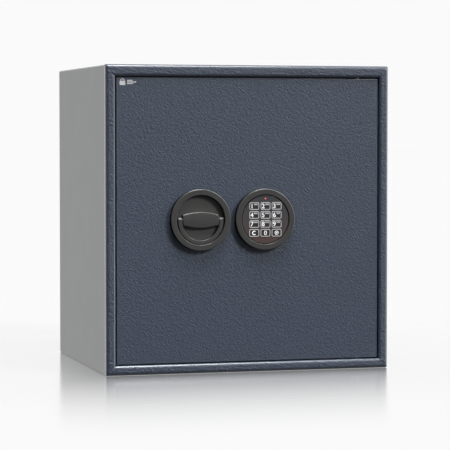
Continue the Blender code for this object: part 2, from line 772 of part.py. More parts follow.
def crank(surfaces, handle):
    """Lever on the spindle and the pin at its end."""
    hub, eye = 12 * MM, 8 * MM
    pin_play = 0.2 * MM
    pin_x, pin_z = crank_pin_place()
    spread = math.degrees(math.acos((hub - eye) / CRANK_THROW))
    outline = arc((HANDLE_X, HANDLE_Z), hub, 45 + spread, 405 - spread, 20)
    outline += arc((pin_x, pin_z), eye, 45 - spread, 45 + spread, 10)
    solid = bmesh.new()
    prism(solid, outline, FRONT + CRANK_FRONT, FRONT + CRANK_BACK)
    arm = finish("crank_arm", solid, surfaces["zinc_steel"],
                 at(HANDLE_X, CRANK_FRONT, HANDLE_Z), handle)
    cutter = bmesh.new()
    rod(cutter, SPINDLE_BORE, 0, CARRIER_BACK, at(HANDLE_X, 0, HANDLE_Z))
    rod(cutter, CRANK_PIN_RADIUS + pin_play, 0, CARRIER_BACK, at(pin_x, 0, pin_z))
    boolean(arm, cutter)

    head = CARRIER_BACK + 0.5 * MM
    head_back = head + 1.5 * MM
    head_radius = 6.5 * MM
    profile = [
        (0, CRANK_FRONT), (CRANK_PIN_RADIUS, CRANK_FRONT), (CRANK_PIN_RADIUS, head),
        (head_radius, head), (head_radius, head_back), (0, head_back),
    ]
    pin = bmesh.new()
    turned(pin, profile, at(pin_x, 0, pin_z), segments=SMALL_ROUND)
    finish("crank_pin", pin, surfaces["bright_steel"], at(pin_x, CRANK_FRONT, pin_z), handle)


def spindle_circlip(surfaces, handle):
    """Open ring in the spindle's groove that keeps the crank arm on."""
    centre = (HANDLE_X, HANDLE_Z)
    inner, outer = SPINDLE_GROOVE + 0.2 * MM, 8.5 * MM
    start, end = 290, 610
    outline = arc(centre, outer, start, end, 24) + arc(centre, inner, end, start, 24)
    solid = bmesh.new()
    prism(solid, outline, FRONT + CLIP_FRONT, FRONT + CLIP_BACK)
    finish("spindle_circlip", solid, surfaces["zinc_steel"], at(HANDLE_X, CLIP_FRONT, HANDLE_Z),
           handle)


def handle_bail(surfaces, bail):
    """D-shaped bail: two short arms and a half circle, hung on a pin through the bar."""
    edge = 0.9 * MM
    bow_z = BAIL_Z - BAIL_ARM
    arm = (BAIL_OUTER - BAIL_INNER) / 2
    middle = (BAIL_OUTER + BAIL_INNER) / 2
    outline = arc((HANDLE_X, bow_z), BAIL_OUTER, 180, 360, 24)
    outline += arc((HANDLE_X + middle, BAIL_Z + BAIL_TIP), arm, 0, 180, 6)
    outline += arc((HANDLE_X, bow_z), BAIL_INNER, 360, 180, 24)
    outline += arc((HANDLE_X - middle, BAIL_Z + BAIL_TIP), arm, 0, 180, 6)
    solid = bmesh.new()
    prism(solid, outline, FRONT + BAIL_DEPTH - BAIL_THICKNESS / 2,
          FRONT + BAIL_DEPTH + BAIL_THICKNESS / 2)
    home = at(HANDLE_X, BAIL_DEPTH, BAIL_Z)
    item = finish("handle_bail", solid, surfaces["satin_metal"], home, bail)
    bevel(item, edge)
    cutter = bmesh.new()
    rod(cutter, BAIL_PIN_RADIUS + FIT, -RING_BORE, RING_BORE, home, "X", 12)
    boolean(item, cutter)
    pin = bmesh.new()
    rod(pin, BAIL_PIN_RADIUS, FIT - BAIL_OUTER, BAIL_OUTER - FIT, home, "X", 12)
    finish("bail_pin", pin, surfaces["bright_steel"], home, bail)


# ---- boltwork ----

def bolt_carrier(surfaces, carrier):
    """Angle-shaped carrier with guide slots, a crank slot and the tab that the lock blocks."""
    outline = [
        (CARRIER_LEFT, CARRIER_LOW), (CARRIER_WEB_RIGHT, CARRIER_LOW),
        (CARRIER_WEB_RIGHT, CARRIER_ARM_LOW), (CARRIER_TAB_LEFT, CARRIER_ARM_LOW),
        (CARRIER_TAB_LEFT, CARRIER_TAB_LOW), (CARRIER_ARM_RIGHT, CARRIER_TAB_LOW),
        (CARRIER_ARM_RIGHT, CARRIER_ARM_HIGH), (CARRIER_WEB_RIGHT, CARRIER_ARM_HIGH),
        (CARRIER_WEB_RIGHT, CARRIER_HIGH), (CARRIER_LEFT, CARRIER_HIGH),
    ]
    solid = bmesh.new()
    prism(solid, outline, FRONT + CARRIER_FRONT, FRONT + CARRIER_BACK)
    item = finish("bolt_carrier", solid, surfaces["zinc_steel"],
                  at(CARRIER_LEFT, CARRIER_FRONT, HEIGHT / 2), carrier)

    thickness = CARRIER_BACK - CARRIER_FRONT
    flange = bmesh.new()
    outline = rectangle(CARRIER_LEFT, CARRIER_LEFT + thickness, CARRIER_LOW, CARRIER_HIGH)
    prism(flange, outline, FRONT + CARRIER_BACK - thickness / 2, FRONT + CARRIER_FLANGE_BACK)
    boolean(item, flange, "UNION")

    cutter = bmesh.new()
    play = 0.6 * MM
    crank_play = 0.8 * MM
    for height in GUIDE_HEIGHTS:
        start = (GUIDE_X - play, height)
        end = (GUIDE_X + BOLT_STROKE + play, height)
        prism(cutter, slot(start, end, GUIDE_RADIUS + FIT), FRONT, FRONT + 2 * CARRIER_BACK)
    pin_x, pin_z = crank_pin_place()
    slot_top = HANDLE_Z + CRANK_THROW + play
    half_width = CRANK_PIN_RADIUS + crank_play
    outline = slot((pin_x, pin_z - play), (pin_x, slot_top), half_width)
    prism(cutter, outline, FRONT, FRONT + 2 * CARRIER_BACK)
    for height in BOLT_HEIGHTS:
        rod(cutter, SPIGOT_RADIUS + FIT, -WALL, 2 * WALL, at(CARRIER_LEFT, BOLT_DEPTH, height), "X")
    boolean(item, cutter)


def locking_bolts(surfaces, carrier):
    """Three round bolts, riveted to the carrier by their spigots."""
    tip = CASING_LEFT + 0.1 * MM
    shoulder = CARRIER_LEFT - FIT
    rivet = CARRIER_LEFT + WALL + 2 * MM
    chamfer = 1.5 * MM
    profile = [
        (0, tip), (BOLT_RADIUS - chamfer, tip), (BOLT_RADIUS, tip + chamfer),
        (BOLT_RADIUS, shoulder), (SPIGOT_RADIUS, shoulder), (SPIGOT_RADIUS, rivet), (0, rivet),
    ]
    for number, height in enumerate(BOLT_HEIGHTS, 1):
        solid = bmesh.new()
        turned(solid, profile, at(0, BOLT_DEPTH, height), "X", MEDIUM_ROUND)
        finish("locking_bolt_%d" % number, solid, surfaces["bright_steel"],
               at(tip, BOLT_DEPTH, height), carrier)


# ---- lock ----

def lock_screw_places():
    """Where the lock's screws go, at opposite corners of its case."""
    inset = 7 * MM
    return [(LOCK_LEFT + inset, LOCK_HIGH - inset), (LOCK_RIGHT - inset, LOCK_LOW + inset)]


def lock_case(surfaces, door):
    """Die-cast case of the electronic lock, with the shaft that its bolt rises from."""
    front = PLATE_BACK + 1 * MM
    solid = bmesh.new()
    outline = rounded_rectangle(LOCK_LEFT, LOCK_RIGHT, LOCK_LOW, LOCK_HIGH, 3 * MM, 2)
    prism(solid, outline, FRONT + front, FRONT + LOCK_BACK)
    item = finish("lock_case", solid, surfaces["zinc_steel"], at(LOCK_LEFT, front, LOCK_LOW), door)
    cutter = bmesh.new()
    shaft = rectangle(LOCK_BOLT_LEFT - FIT, LOCK_BOLT_RIGHT + FIT, LOCK_BOLT_LOW - FIT,
                      LOCK_HIGH + WALL)
    prism(cutter, shaft, FRONT + LOCK_BOLT_FRONT - FIT, FRONT + LOCK_BOLT_BACK + FIT)
    for x, z in lock_screw_places():
        rod(cutter, LOCK_SCREW_RADIUS + FIT, 0, LOCK_BACK + WALL, at(x, 0, z))
    boolean(item, cutter)


def lock_screws(surfaces, door):
    """Cap screws through the lock case."""
    seat = LOCK_BACK + FIT
    head_back = seat + 3 * MM
    head_radius = 3.6 * MM
    for number, (x, z) in enumerate(lock_screw_places(), 1):
        profile = [
            (0, PLATE_BACK + FIT), (LOCK_SCREW_RADIUS, PLATE_BACK + FIT),
            (LOCK_SCREW_RADIUS, seat), (head_radius, seat), (head_radius, head_back),
            (0, head_back),
        ]
        solid = bmesh.new()
        turned(solid, profile, at(x, 0, z), segments=SMALL_ROUND)
        finish("lock_screw_%d" % number, solid, surfaces["zinc_steel"], at(x, seat, z), door)


def lock_bolt(surfaces, lock):
    """The lock's own bolt, chamfered at its tip."""
    chamfer = 1.5 * MM
    outline = [
        (LOCK_BOLT_LEFT, LOCK_BOLT_LOW), (LOCK_BOLT_RIGHT, LOCK_BOLT_LOW),
        (LOCK_BOLT_RIGHT, LOCK_BOLT_HIGH - chamfer), (LOCK_BOLT_RIGHT - chamfer, LOCK_BOLT_HIGH),
        (LOCK_BOLT_LEFT + chamfer, LOCK_BOLT_HIGH), (LOCK_BOLT_LEFT, LOCK_BOLT_HIGH - chamfer),
    ]
    solid = bmesh.new()
    prism(solid, outline, FRONT + LOCK_BOLT_FRONT, FRONT + LOCK_BOLT_BACK)
    home = at((LOCK_BOLT_LEFT + LOCK_BOLT_RIGHT) / 2, LOCK_BOLT_FRONT, LOCK_BOLT_LOW)
    finish("lock_bolt", solid, surfaces["brass"], home, lock)


def battery_and_tray(surfaces, door):
    """Open tray on the plate's back with a block battery in it."""
    x0, x1, z0, z1 = 60 * MM, 90 * MM, 145 * MM, 197 * MM
    tray_front, tray_back = PLATE_BACK + FIT, 26 * MM
    battery_thickness = 17.5 * MM
    wall = 1.5 * MM
    solid = bmesh.new()
    prism(solid, rectangle(x0, x1, z0, z1), FRONT + tray_front, FRONT + tray_back)
    tray = finish("battery_tray", solid, surfaces["black_plastic"], at(x0, tray_front, z0), door)
    cutter = bmesh.new()
    hollow = rectangle(x0 + wall, x1 - wall, z0 + wall, z1 - wall)
    prism(cutter, hollow, FRONT + tray_front + wall, FRONT + tray_back + wall)
    boolean(tray, cutter)
    gap = wall + FIT
    block = bmesh.new()
    outline = rounded_rectangle(x0 + gap, x1 - gap, z0 + gap, z1 - gap, 2 * MM, 2)
    prism(block, outline, FRONT + tray_front + gap, FRONT + tray_front + gap + battery_thickness)
    finish("battery", block, surfaces["black_plastic"], at(x0 + gap, tray_front, z0 + gap), door)


# ---- keypad ----

def key_centres():
    """Name and centre of each key, from the top left."""
    names = ("1", "2", "3", "4", "5", "6", "7", "8", "9", "clear", "0", "enter")
    for index, name in enumerate(names):
        row, column = divmod(index, 3)
        x = KEYPAD_X + (column - 1) * KEY_PITCH_X
        z = KEYPAD_Z + (1.5 - row) * KEY_PITCH_Z
        yield name, x, z


def key_outline(x, z, grow):
    """Round-cornered outline of a key, or of its window when grown."""
    half_x, half_z = KEY_WIDTH / 2 + grow, KEY_HEIGHT / 2 + grow
    return rounded_rectangle(x - half_x, x + half_x, z - half_z, z + half_z, KEY_CORNER + grow, 3)


def keypad_fascia(surfaces, door):
    """Round fascia with a window for each key and a hole for the indicator."""
    profile = [
        (0, FASCIA_FRONT), (FASCIA_RADIUS, FASCIA_FRONT), (FASCIA_RADIUS, FASCIA_BACK),
        (0, FASCIA_BACK),
    ]
    centre = at(KEYPAD_X, 0, KEYPAD_Z)
    solid = bmesh.new()
    turned(solid, profile, centre, segments=WIDE_ROUND)
    item = finish("keypad_fascia", solid, surfaces["dark_gloss"],
                  at(KEYPAD_X, FASCIA_FRONT, KEYPAD_Z), door)
    cutter = bmesh.new()
    for _, x, z in key_centres():
        prism(cutter, key_outline(x, z, FIT), FRONT - 2 * WALL, FRONT + WALL)
    rod(cutter, LED_RADIUS + FIT, -2 * WALL, WALL, at(KEYPAD_X, 0, KEYPAD_Z + LED_ABOVE))
    boolean(item, cutter)


def keypad_keys(surfaces, door):
    """Twelve separate keys, each at home in its own window."""
    edge = 0.4 * MM
    for name, x, z in key_centres():
        solid = bmesh.new()
        face = prism(solid, key_outline(x, z, 0), FRONT + KEY_BACK, FRONT + KEY_FRONT)
        rim = [edge for edge in solid.edges if all(vertex in face for vertex in edge.verts)]
        bmesh.ops.bevel(solid, geom=rim, offset=edge, segments=1, affect="EDGES")
        finish("key_" + name, solid, surfaces["key_plastic"], at(x, KEY_FRONT, z), door)


def keypad_inside(surfaces, door):
    """Circuit board behind the keys and the lens of the indicator."""
    board_radius, board_front, board_back = 38 * MM, 0.3 * MM, 1.9 * MM
    board = bmesh.new()
    rod(board, board_radius, board_front, board_back, at(KEYPAD_X, 0, KEYPAD_Z), segments=ROUND)
    finish("keypad_board", board, surfaces["board_green"], at(KEYPAD_X, 0, KEYPAD_Z), door)
    centre = at(KEYPAD_X, 0, KEYPAD_Z + LED_ABOVE)
    dome = arc((0, LED_SHOULDER), LED_RADIUS, 0, -90, 3)
    profile = [(0, 0), (LED_RADIUS, 0)] + dome[:-1] + [(0, LED_SHOULDER - LED_RADIUS)]
    lens = bmesh.new()
    turned(lens, profile, centre, segments=SMALL_ROUND)
    finish("led_lens", lens, surfaces["red_lens"], centre, door)


def keypad_cable(surfaces, door):
    """Cable from the circuit board through the door plate to the lock."""
    start = at(KEYPAD_X, 2.2 * MM, KEYPAD_Z)
    middle = at(18 * MM, 24 * MM, 222 * MM)
    end = at(LOCK_RIGHT + FIT, 27 * MM, 200 * MM)
    bend_a = start + Vector((0, 18 * MM, 0))
    bend_b = middle + Vector((8 * MM, 0, 12 * MM))
    bend_c = middle - Vector((8 * MM, 0, 12 * MM))
    bend_d = end + Vector((16 * MM, 0, 0))
    route = list(interpolate_bezier(start, bend_a, bend_b, middle, 10))
    route += list(interpolate_bezier(middle, bend_c, bend_d, end, 12))[1:]
    shape = bpy.data.curves.new("keypad_cable", "CURVE")
    shape.dimensions = "3D"
    shape.bevel_depth = CABLE_RADIUS
    shape.bevel_resolution = 2
    shape.use_fill_caps = True
    line = shape.splines.new("POLY")
    line.points.add(len(route) - 1)
    for point, place in zip(line.points, route):
        point.co = (*(place - start), 1)
    shape.materials.append(surfaces["black_plastic"])
    item = bpy.data.objects.new("keypad_cable", shape)
    bpy.context.scene.collection.objects.link(item)
    item.parent = door
    item.location = start - world_position(door)


# ---- assembly ----

def build_cabinet(surfaces):
    """Everything that stays with the wall."""
    front_frame(surfaces)
    body_wrap(surfaces)
    back_panel(surfaces)
    door_stop(surfaces)
    hinge_brackets(surfaces)
    shelf(surfaces)
    shelf_rails(surfaces)
    floor_mat(surfaces)


def build_door(surfaces, door):
    """Everything that swings with the door and doesn't move in it."""
    door_plate(surfaces, door)
    door_casing(surfaces, door)
    rear_cover(surfaces, door)
    cover_screws(surfaces, door)
    hinge_door_side(surfaces, door)
    claw_strip(surfaces, door)
    guide_studs(surfaces, door)
    rosette("handle_ring", HANDLE_X, HANDLE_Z, surfaces["satin_metal"], door)
    spindle_bush(surfaces, door)
    rosette("keypad_ring", KEYPAD_X, KEYPAD_Z, surfaces["satin_metal"], door)
    keypad_fascia(surfaces, door)
    keypad_inside(surfaces, door)
    keypad_cable(surfaces, door)
    lock_case(surfaces, door)
    lock_screws(surfaces, door)
    battery_and_tray(surfaces, door)


def main():
    """Build the whole safe, closed and unlocked."""
    clear_scene()
    surfaces = make_materials()
    build_cabinet(surfaces)
    door = axis_point("door_hinge_axis", at(HINGE_X, HINGE_DEPTH, HEIGHT / 2))
    build_door(surfaces, door)
    handle = axis_point("handle_axis", at(HANDLE_X, DOOR_RECESS, HANDLE_Z), door)
    handle_dish(surfaces, handle)
    spindle(surfaces, handle)
    crank(surfaces, handle)
    spindle_circlip(surfaces, handle)
    bail = axis_point("bail_axis", at(HANDLE_X, BAIL_DEPTH, BAIL_Z), handle)
    handle_bail(surfaces, bail)
    carrier = axis_point("bolt_slide_home", at(CARRIER_LEFT, CARRIER_FRONT, HANDLE_Z), door)
    bolt_carrier(surfaces, carrier)
    locking_bolts(surfaces, carrier)
    lock = axis_point("lock_slide_home", at(LOCK_BOLT_LEFT, LOCK_BOLT_FRONT, LOCK_BOLT_LOW), door)
    lock_bolt(surfaces, lock)
    keypad_keys(surfaces, door)


main()
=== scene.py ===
import json
import math

import bmesh
import bpy
from mathutils import Matrix, Vector


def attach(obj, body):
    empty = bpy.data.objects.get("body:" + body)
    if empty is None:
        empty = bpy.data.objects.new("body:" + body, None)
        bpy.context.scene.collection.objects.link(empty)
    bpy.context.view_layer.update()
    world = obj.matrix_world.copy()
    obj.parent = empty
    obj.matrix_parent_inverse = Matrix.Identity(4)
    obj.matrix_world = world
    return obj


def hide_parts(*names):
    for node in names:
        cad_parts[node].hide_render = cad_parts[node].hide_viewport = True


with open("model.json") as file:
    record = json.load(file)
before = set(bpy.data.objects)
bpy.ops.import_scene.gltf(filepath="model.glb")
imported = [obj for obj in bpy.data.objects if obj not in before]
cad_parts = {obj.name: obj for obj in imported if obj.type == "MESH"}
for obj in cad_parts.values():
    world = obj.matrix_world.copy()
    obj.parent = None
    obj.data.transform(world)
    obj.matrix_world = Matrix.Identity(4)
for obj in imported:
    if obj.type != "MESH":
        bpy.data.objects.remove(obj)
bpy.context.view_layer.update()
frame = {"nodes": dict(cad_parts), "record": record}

# Lengths are in metres. A depth is measured backwards from the front plane of the frame.
MM = 0.001
# Gap that keeps neighbouring pieces apart.
FIT = 0.3 * MM
FRONT = -0.192
HEIGHT = 500 * MM
HALF_WIDTH = 239 * MM
BACK = 390 * MM
WALL = 4 * MM
BODY_INSET = 0.5 * MM
ANCHOR_HALF_SPACING = 140 * MM
ANCHOR_DEPTH = 230 * MM
BEAD_WIDTH = 16 * MM
BEAD_TOP_WIDTH = 19 * MM
BEAD_DEPTH = 9 * MM
FLANGE_DEPTH = 13 * MM
FLANGE_WIDTH = 4.2 * MM
DOOR_HALF = 221 * MM
DOOR_LOW = 18 * MM
DOOR_HIGH = 479 * MM
DOOR_FRONT = 4 * MM
DOOR_BACK = 10 * MM
HANDLE = (-83.5 * MM, 249.5 * MM)
KEYPAD = (25 * MM, 249.5 * MM)
RING_RADIUS = 50 * MM
RING_BORE = 40.5 * MM
RING_FOOT = 47.8 * MM
RIM_BACK = -4.1 * MM
BAIL_PIVOT = 250 * MM
BAIL_TIP = BAIL_PIVOT + 3.9 * MM
BAIL_DEPTH = -3 * MM
KEY_PITCH = (19 * MM, 14.6 * MM)
KEY_SIZE = (16.7 * MM, 12.3 * MM)
KEY_CORNER = 2.5 * MM
KEY_FRONT = -5 * MM
FASCIA_RADIUS = 39.3 * MM
LAMP_HEIGHT = KEYPAD[1] + 33.8 * MM
LAMP_RADIUS = 1.2 * MM
# Left, right, bottom and top of the door's casing.
CASING = (-200 * MM, 213 * MM, 38 * MM, 462 * MM)
CASING_BACK = 56 * MM
COVER_BACK = 57.8 * MM
WHITE = (0.955, 0.955, 0.955, 1)


def at(x, depth, z):
    """Position of a point from its depth behind the frame's front plane."""
    return Vector((x, FRONT + depth, z))


# ---- shader nodes ----

def node(tree, kind, inputs=None, **settings):
    """Add a shader node. An input is a value or another node's output."""
    item = tree.nodes.new("ShaderNode" + kind)
    for name, value in settings.items():
        setattr(item, name, value)
    for name, value in (inputs or {}).items():
        if isinstance(value, bpy.types.NodeSocket):
            tree.links.new(value, item.inputs[name])
        else:
            item.inputs[name].default_value = value
    return item.outputs


def surface(name, colour, roughness, metallic=0.0, **shader_values):
    """A Principled material; returns it with its tree, its shader and the object coordinates."""
    made = bpy.data.materials.new(name)
    made.use_nodes = True
    made.diffuse_color = (*colour, 1)
    tree = made.node_tree
    shader = tree.nodes["Principled BSDF"]
    shader.inputs["Base Color"].default_value = (*colour, 1)
    shader.inputs["Roughness"].default_value = roughness
    shader.inputs["Metallic"].default_value = metallic
    for socket, value in shader_values.items():
        shader.inputs[socket.replace("_", " ")].default_value = value
    place = node(tree, "TexCoord")["Object"]
    return made, tree, shader, place


def turned_place(tree, place, angles, scale):
    """Coordinates turned by angles in degrees and then stretched."""
    spun = tuple(math.radians(angle) for angle in angles)
    turned_axes = node(tree, "VectorRotate", {"Vector": place, "Rotation": spun},
                       rotation_type="EULER_XYZ")[0]
    return node(tree, "VectorMath", {0: turned_axes, 1: scale}, operation="MULTIPLY")[0]


def noise(tree, place, size, detail=2.0, roughness=0.5):
    """Cloud noise whose lumps are about this size."""
    return node(tree, "TexNoise", {
        "Vector": place, "Scale": 1 / size, "Detail": detail, "Roughness": roughness})[0]


def cells(tree, place, size, feature="SMOOTH_F1"):
    """Distance to the nearest of scattered points this far apart, or to the edges between them."""
    return node(tree, "TexVoronoi", {"Vector": place, "Scale": 1 / size},
                feature=feature)["Distance"]


def maths(tree, operation, first, second=0.0, third=0.0):
    """One calculation. An operand is a value or another node's output."""
    item = tree.nodes.new("ShaderNodeMath")
    item.operation = operation
    for socket, value in zip(item.inputs, (first, second, third)):
        if isinstance(value, bpy.types.NodeSocket):
            tree.links.new(value, socket)
        else:
            socket.default_value = value
    return item.outputs[0]


def blend(tree, parts):
    """Weighted sum of (weight, height) pairs."""
    total = 0.0
    for weight, height in parts:
        total = maths(tree, "MULTIPLY_ADD", height, weight, total)
    return total


def tint(tree, shader, factor, dark, light):
    """Colour that runs from dark to light as the factor runs from 0.3 to 0.7."""
    ramp = node(tree, "MapRange", {"Value": factor, "From Min": 0.3, "From Max": 0.7})[0]
    mix = tree.nodes.new("ShaderNodeMix")
    mix.data_type = "RGBA"
    tree.links.new(ramp, mix.inputs[0])
    mix.inputs[6].default_value = (*dark, 1)
    mix.inputs[7].default_value = (*light, 1)
    tree.links.new(mix.outputs[2], shader.inputs["Base Color"])


def vary(tree, shader, factor, low, high):
    """Roughness that runs from low to high as the factor runs from 0.3 to 0.7."""
    ramp = node(tree, "MapRange", {
        "Value": factor, "From Min": 0.3, "From Max": 0.7, "To Min": low, "To Max": high})[0]
    tree.links.new(ramp, shader.inputs["Roughness"])


def relief(tree, shader, height, depth):
    """Bump of this depth."""
    bump = node(tree, "Bump", {"Height": height, "Distance": depth, "Strength": 1.0})[0]
    tree.links.new(bump, shader.inputs["Normal"])


def scaled(colour, factor):
    """A colour made darker or lighter."""
    return tuple(channel * factor for channel in colour)


# ---- materials ----

def graphite_paint(name, colour, grain, depth):
    """Powder paint with a fine leather texture that runs from upper left to lower right."""
    made, tree, shader, place = surface(name, colour, 0.42, Coat_Weight=1.0, Coat_Roughness=0.14)
    slanted = turned_place(tree, place, (0, -40, 0), (0.5, 1.1, 1.1))
    streaks = noise(tree, slanted, grain, 2.0, 0.5)
    pebbles = cells(tree, slanted, grain)
    orange = noise(tree, place, 1.1 * MM, 2.0)
    relief(tree, shader, blend(tree, [(1.0, streaks), (0.7, pebbles), (0.2, orange)]), depth)
    tint(tree, shader, streaks, scaled(colour, 0.86), scaled(colour, 1.14))
    vary(tree, shader, orange, 0.38, 0.5)
    return made


def grey_paint():
    """Smooth satin powder paint."""
    colour = (0.316, 0.321, 0.327)
    made, tree, shader, place = surface("grey_paint", colour, 0.42)
    peel = noise(tree, place, 1.6 * MM, 2.0)
    cloud = noise(tree, place, 60 * MM, 3.0)
    relief(tree, shader, peel, 0.03 * MM)
    tint(tree, shader, cloud, scaled(colour, 0.97), scaled(colour, 1.03))
    vary(tree, shader, peel, 0.38, 0.47)
    return made


def satin_metal(name, shade):
    """Dark stoved paint on die-cast metal."""
    colour = (shade, shade, shade * 0.98)
    made, tree, shader, place = surface(name, colour, 0.38, Coat_Weight=0.35,
                                        Coat_Roughness=0.16)
    grain = noise(tree, place, 0.5 * MM, 3.0, 0.6)
    relief(tree, shader, grain, 0.03 * MM)
    tint(tree, shader, grain, scaled(colour, 0.9), scaled(colour, 1.12))
    vary(tree, shader, noise(tree, place, 9 * MM, 3.0), 0.33, 0.42)
    return made


def steel(name, colour, low, high, stretch, depth):
    """Bare or plated metal with fine machining lines along the stretched direction."""
    made, tree, shader, place = surface(name, colour, (low + high) / 2, 1.0)
    lines = noise(tree, turned_place(tree, place, (0, 0, 0), stretch), 0.35 * MM, 4.0, 0.6)
    cloud = noise(tree, place, 14 * MM, 4.0, 0.6)
    relief(tree, shader, lines, depth)
    tint(tree, shader, cloud, scaled(colour, 0.88), scaled(colour, 1.08))
    vary(tree, shader, cloud, low, high)
    return made


def fascia_gloss():
    """Semi-gloss plastic of the keypad's fascia, bluish grey towards its top as a painted
    reflection and a little warmer towards its foot.
    """
    made, tree, shader, place = surface("fascia_gloss", (0.052, 0.046, 0.048), 0.28)
    height = node(tree, "SeparateXYZ", {"Vector": place})["Z"]
    low, high = KEYPAD[1] - 34 * MM, KEYPAD[1] + 10 * MM
    share = node(tree, "MapRange", {
        "Value": height, "From Min": low, "From Max": high, "To Min": 0.3, "To Max": 0.7})[0]
    # Bluish grey at the top is a painted reflection; the foot is warmer.
    tint(tree, shader, share, (0.070, 0.046, 0.044), (0.048, 0.048, 0.052))
    grain = noise(tree, place, 0.35 * MM, 2.0)
    relief(tree, shader, grain, 0.012 * MM)
    vary(tree, shader, grain, 0.24, 0.34)
    return made


def plastic(name, colour, roughness, grain_size, depth):
    """Moulded plastic with a spark-eroded grain."""
    made, tree, shader, place = surface(name, colour, roughness)
    grain = noise(tree, place, grain_size, 3.0, 0.6)
    relief(tree, shader, grain, depth)
    tint(tree, shader, grain, scaled(colour, 0.9), scaled(colour, 1.1))
    vary(tree, shader, grain, roughness - 0.06, roughness + 0.08)
    return made


def shade_rubber():
    """Near-black dull foam rubber with open pores: painted shade for the shadowed foot under each
    rosette's rim.
    """
    colour = (0.004, 0.004, 0.004)
    made, tree, shader, place = surface("shade_rubber", colour, 0.9, Specular_IOR_Level=0.06)
    pores = cells(tree, place, 0.5 * MM)
    relief(tree, shader, pores, 0.08 * MM)
    tint(tree, shader, pores, scaled(colour, 0.6), scaled(colour, 1.4))
    return made


def red_lens():
    """Tinted lens of the indicator, softly lit from behind."""
    made, tree, shader, place = surface("red_lens", (0.80, 0.10, 0.12), 0.15)
    shader.inputs["Emission Color"].default_value = (1.0, 0.16, 0.18, 1)
    shader.inputs["Emission Strength"].default_value = 0.55
    ripple = cells(tree, place, 0.5 * MM)
    relief(tree, shader, ripple, 0.04 * MM)
    vary(tree, shader, ripple, 0.1, 0.25)
    return made


def board_green():
    """Circuit board: solder mask over copper tracks."""
    made, tree, shader, place = surface("board_green", (0.015, 0.13, 0.05), 0.35)
    edges = cells(tree, place, 4 * MM, "DISTANCE_TO_EDGE")
    track_width = 0.09
    tracks = maths(tree, "LESS_THAN", edges, track_width)
    tint(tree, shader, tracks, (0.012, 0.10, 0.04), (0.03, 0.22, 0.08))
    relief(tree, shader, tracks, 0.03 * MM)
    return made


def battery_wrap():
    """Printed shrink wrap: dark, with a copper-coloured band round the top third."""
    made, tree, shader, place = surface("battery_wrap", (0.02, 0.022, 0.03), 0.25)
    height = node(tree, "SeparateXYZ", {"Vector": place})["Z"]
    band_foot = 180 * MM
    band = maths(tree, "GREATER_THAN", height, band_foot)
    tint(tree, shader, band, (0.018, 0.02, 0.028), (0.55, 0.36, 0.16))
    relief(tree, shader, noise(tree, place, 3 * MM, 2.0), 0.05 * MM)
    return made


def felt():
    """Needle felt: short fibres lying every way."""
    colour = (0.050, 0.053, 0.060)
    made, tree, shader, place = surface("felt", colour, 0.95, Sheen_Weight=0.5,
                                        Sheen_Roughness=0.5)
    along = noise(tree, turned_place(tree, place, (0, 0, 25), (0.2, 1, 1)), 0.4 * MM, 4.0, 0.7)
    across = noise(tree, turned_place(tree, place, (0, 0, -50), (0.25, 1, 1)), 0.5 * MM, 4.0, 0.7)
    fibres = blend(tree, [(0.5, along), (0.5, across)])
    relief(tree, shader, fibres, 0.5 * MM)
    tint(tree, shader, fibres, scaled(colour, 0.6), scaled(colour, 1.5))
    return made


def screen_print(name, shade):
    """Screen print, slightly uneven in cover."""
    colour = (shade, shade, shade)
    made, tree, shader, place = surface(name, colour, 0.5)
    cover = noise(tree, place, 0.4 * MM, 3.0)
    tint(tree, shader, cover, scaled(colour, 0.9), scaled(colour, 1.08))
    relief(tree, shader, cover, 0.01 * MM)
    return made


def make_surfaces():
    """Every material, by the record's slot name where it has one."""
    door_blue, moulding_blue = (0.034, 0.046, 0.071), (0.03, 0.042, 0.068)
    bright, black = (0.62, 0.62, 0.61), (0.022, 0.022, 0.024)
    return {
        "graphite_paint": graphite_paint("graphite_paint", door_blue, 1.75 * MM, 0.55 * MM),
        "moulding_paint": graphite_paint("moulding_paint", moulding_blue, 2.4 * MM, 1.3 * MM),
        "grey_paint": grey_paint(),
        "satin_metal": satin_metal("satin_metal", 0.037),
        # Lighter copy of satin_metal for the dish: painted light against the shade the ring casts
        # into its recess.
        "dish_metal_painted_light": satin_metal("dish_metal_painted_light", 0.056),
        "bright_steel": steel("bright_steel", bright, 0.2, 0.34, (1, 1, 0.1), 0.02 * MM),
        "zinc_steel": steel("zinc_steel", (0.52, 0.53, 0.50), 0.32, 0.48, (0.3, 1, 1), 0.03 * MM),
        "brass": steel("brass", (0.62, 0.45, 0.19), 0.25, 0.4, (1, 1, 0.15), 0.02 * MM),
        "fascia_gloss": fascia_gloss(),
        "key_plastic": plastic("key_plastic", black, 0.34, 0.3 * MM, 0.012 * MM),
        "red_lens": red_lens(),
        "board_green": board_green(),
        "black_plastic": plastic("black_plastic", black, 0.5, 0.5 * MM, 0.04 * MM),
        # Near-black rubber: painted shade under the rosettes' rims.
        "shade_rubber": shade_rubber(),
        # Near-black steel for the bail's pin: painted shade in the gap between bar and bail.
        "pin_shade_steel": steel("pin_shade_steel", (0.06, 0.06, 0.06), 0.3, 0.45, (1, 1, 0.1), 0.02 * MM),
        "battery_wrap": battery_wrap(),
        "felt": felt(),
        "print_ink": screen_print("print_ink", 0.52),
        "print_white": screen_print("print_white", 0.9),
    }


# ---- outlines ----

def arc(centre, radius, start, end, steps):
    """Points on a circle between two angles in degrees, both ends included."""
    points = []
    for step in range(steps + 1):
        angle = math.radians(start + (end - start) * step / steps)
        points.append((centre[0] + radius * math.cos(angle), centre[1] + radius * math.sin(angle)))
    return points


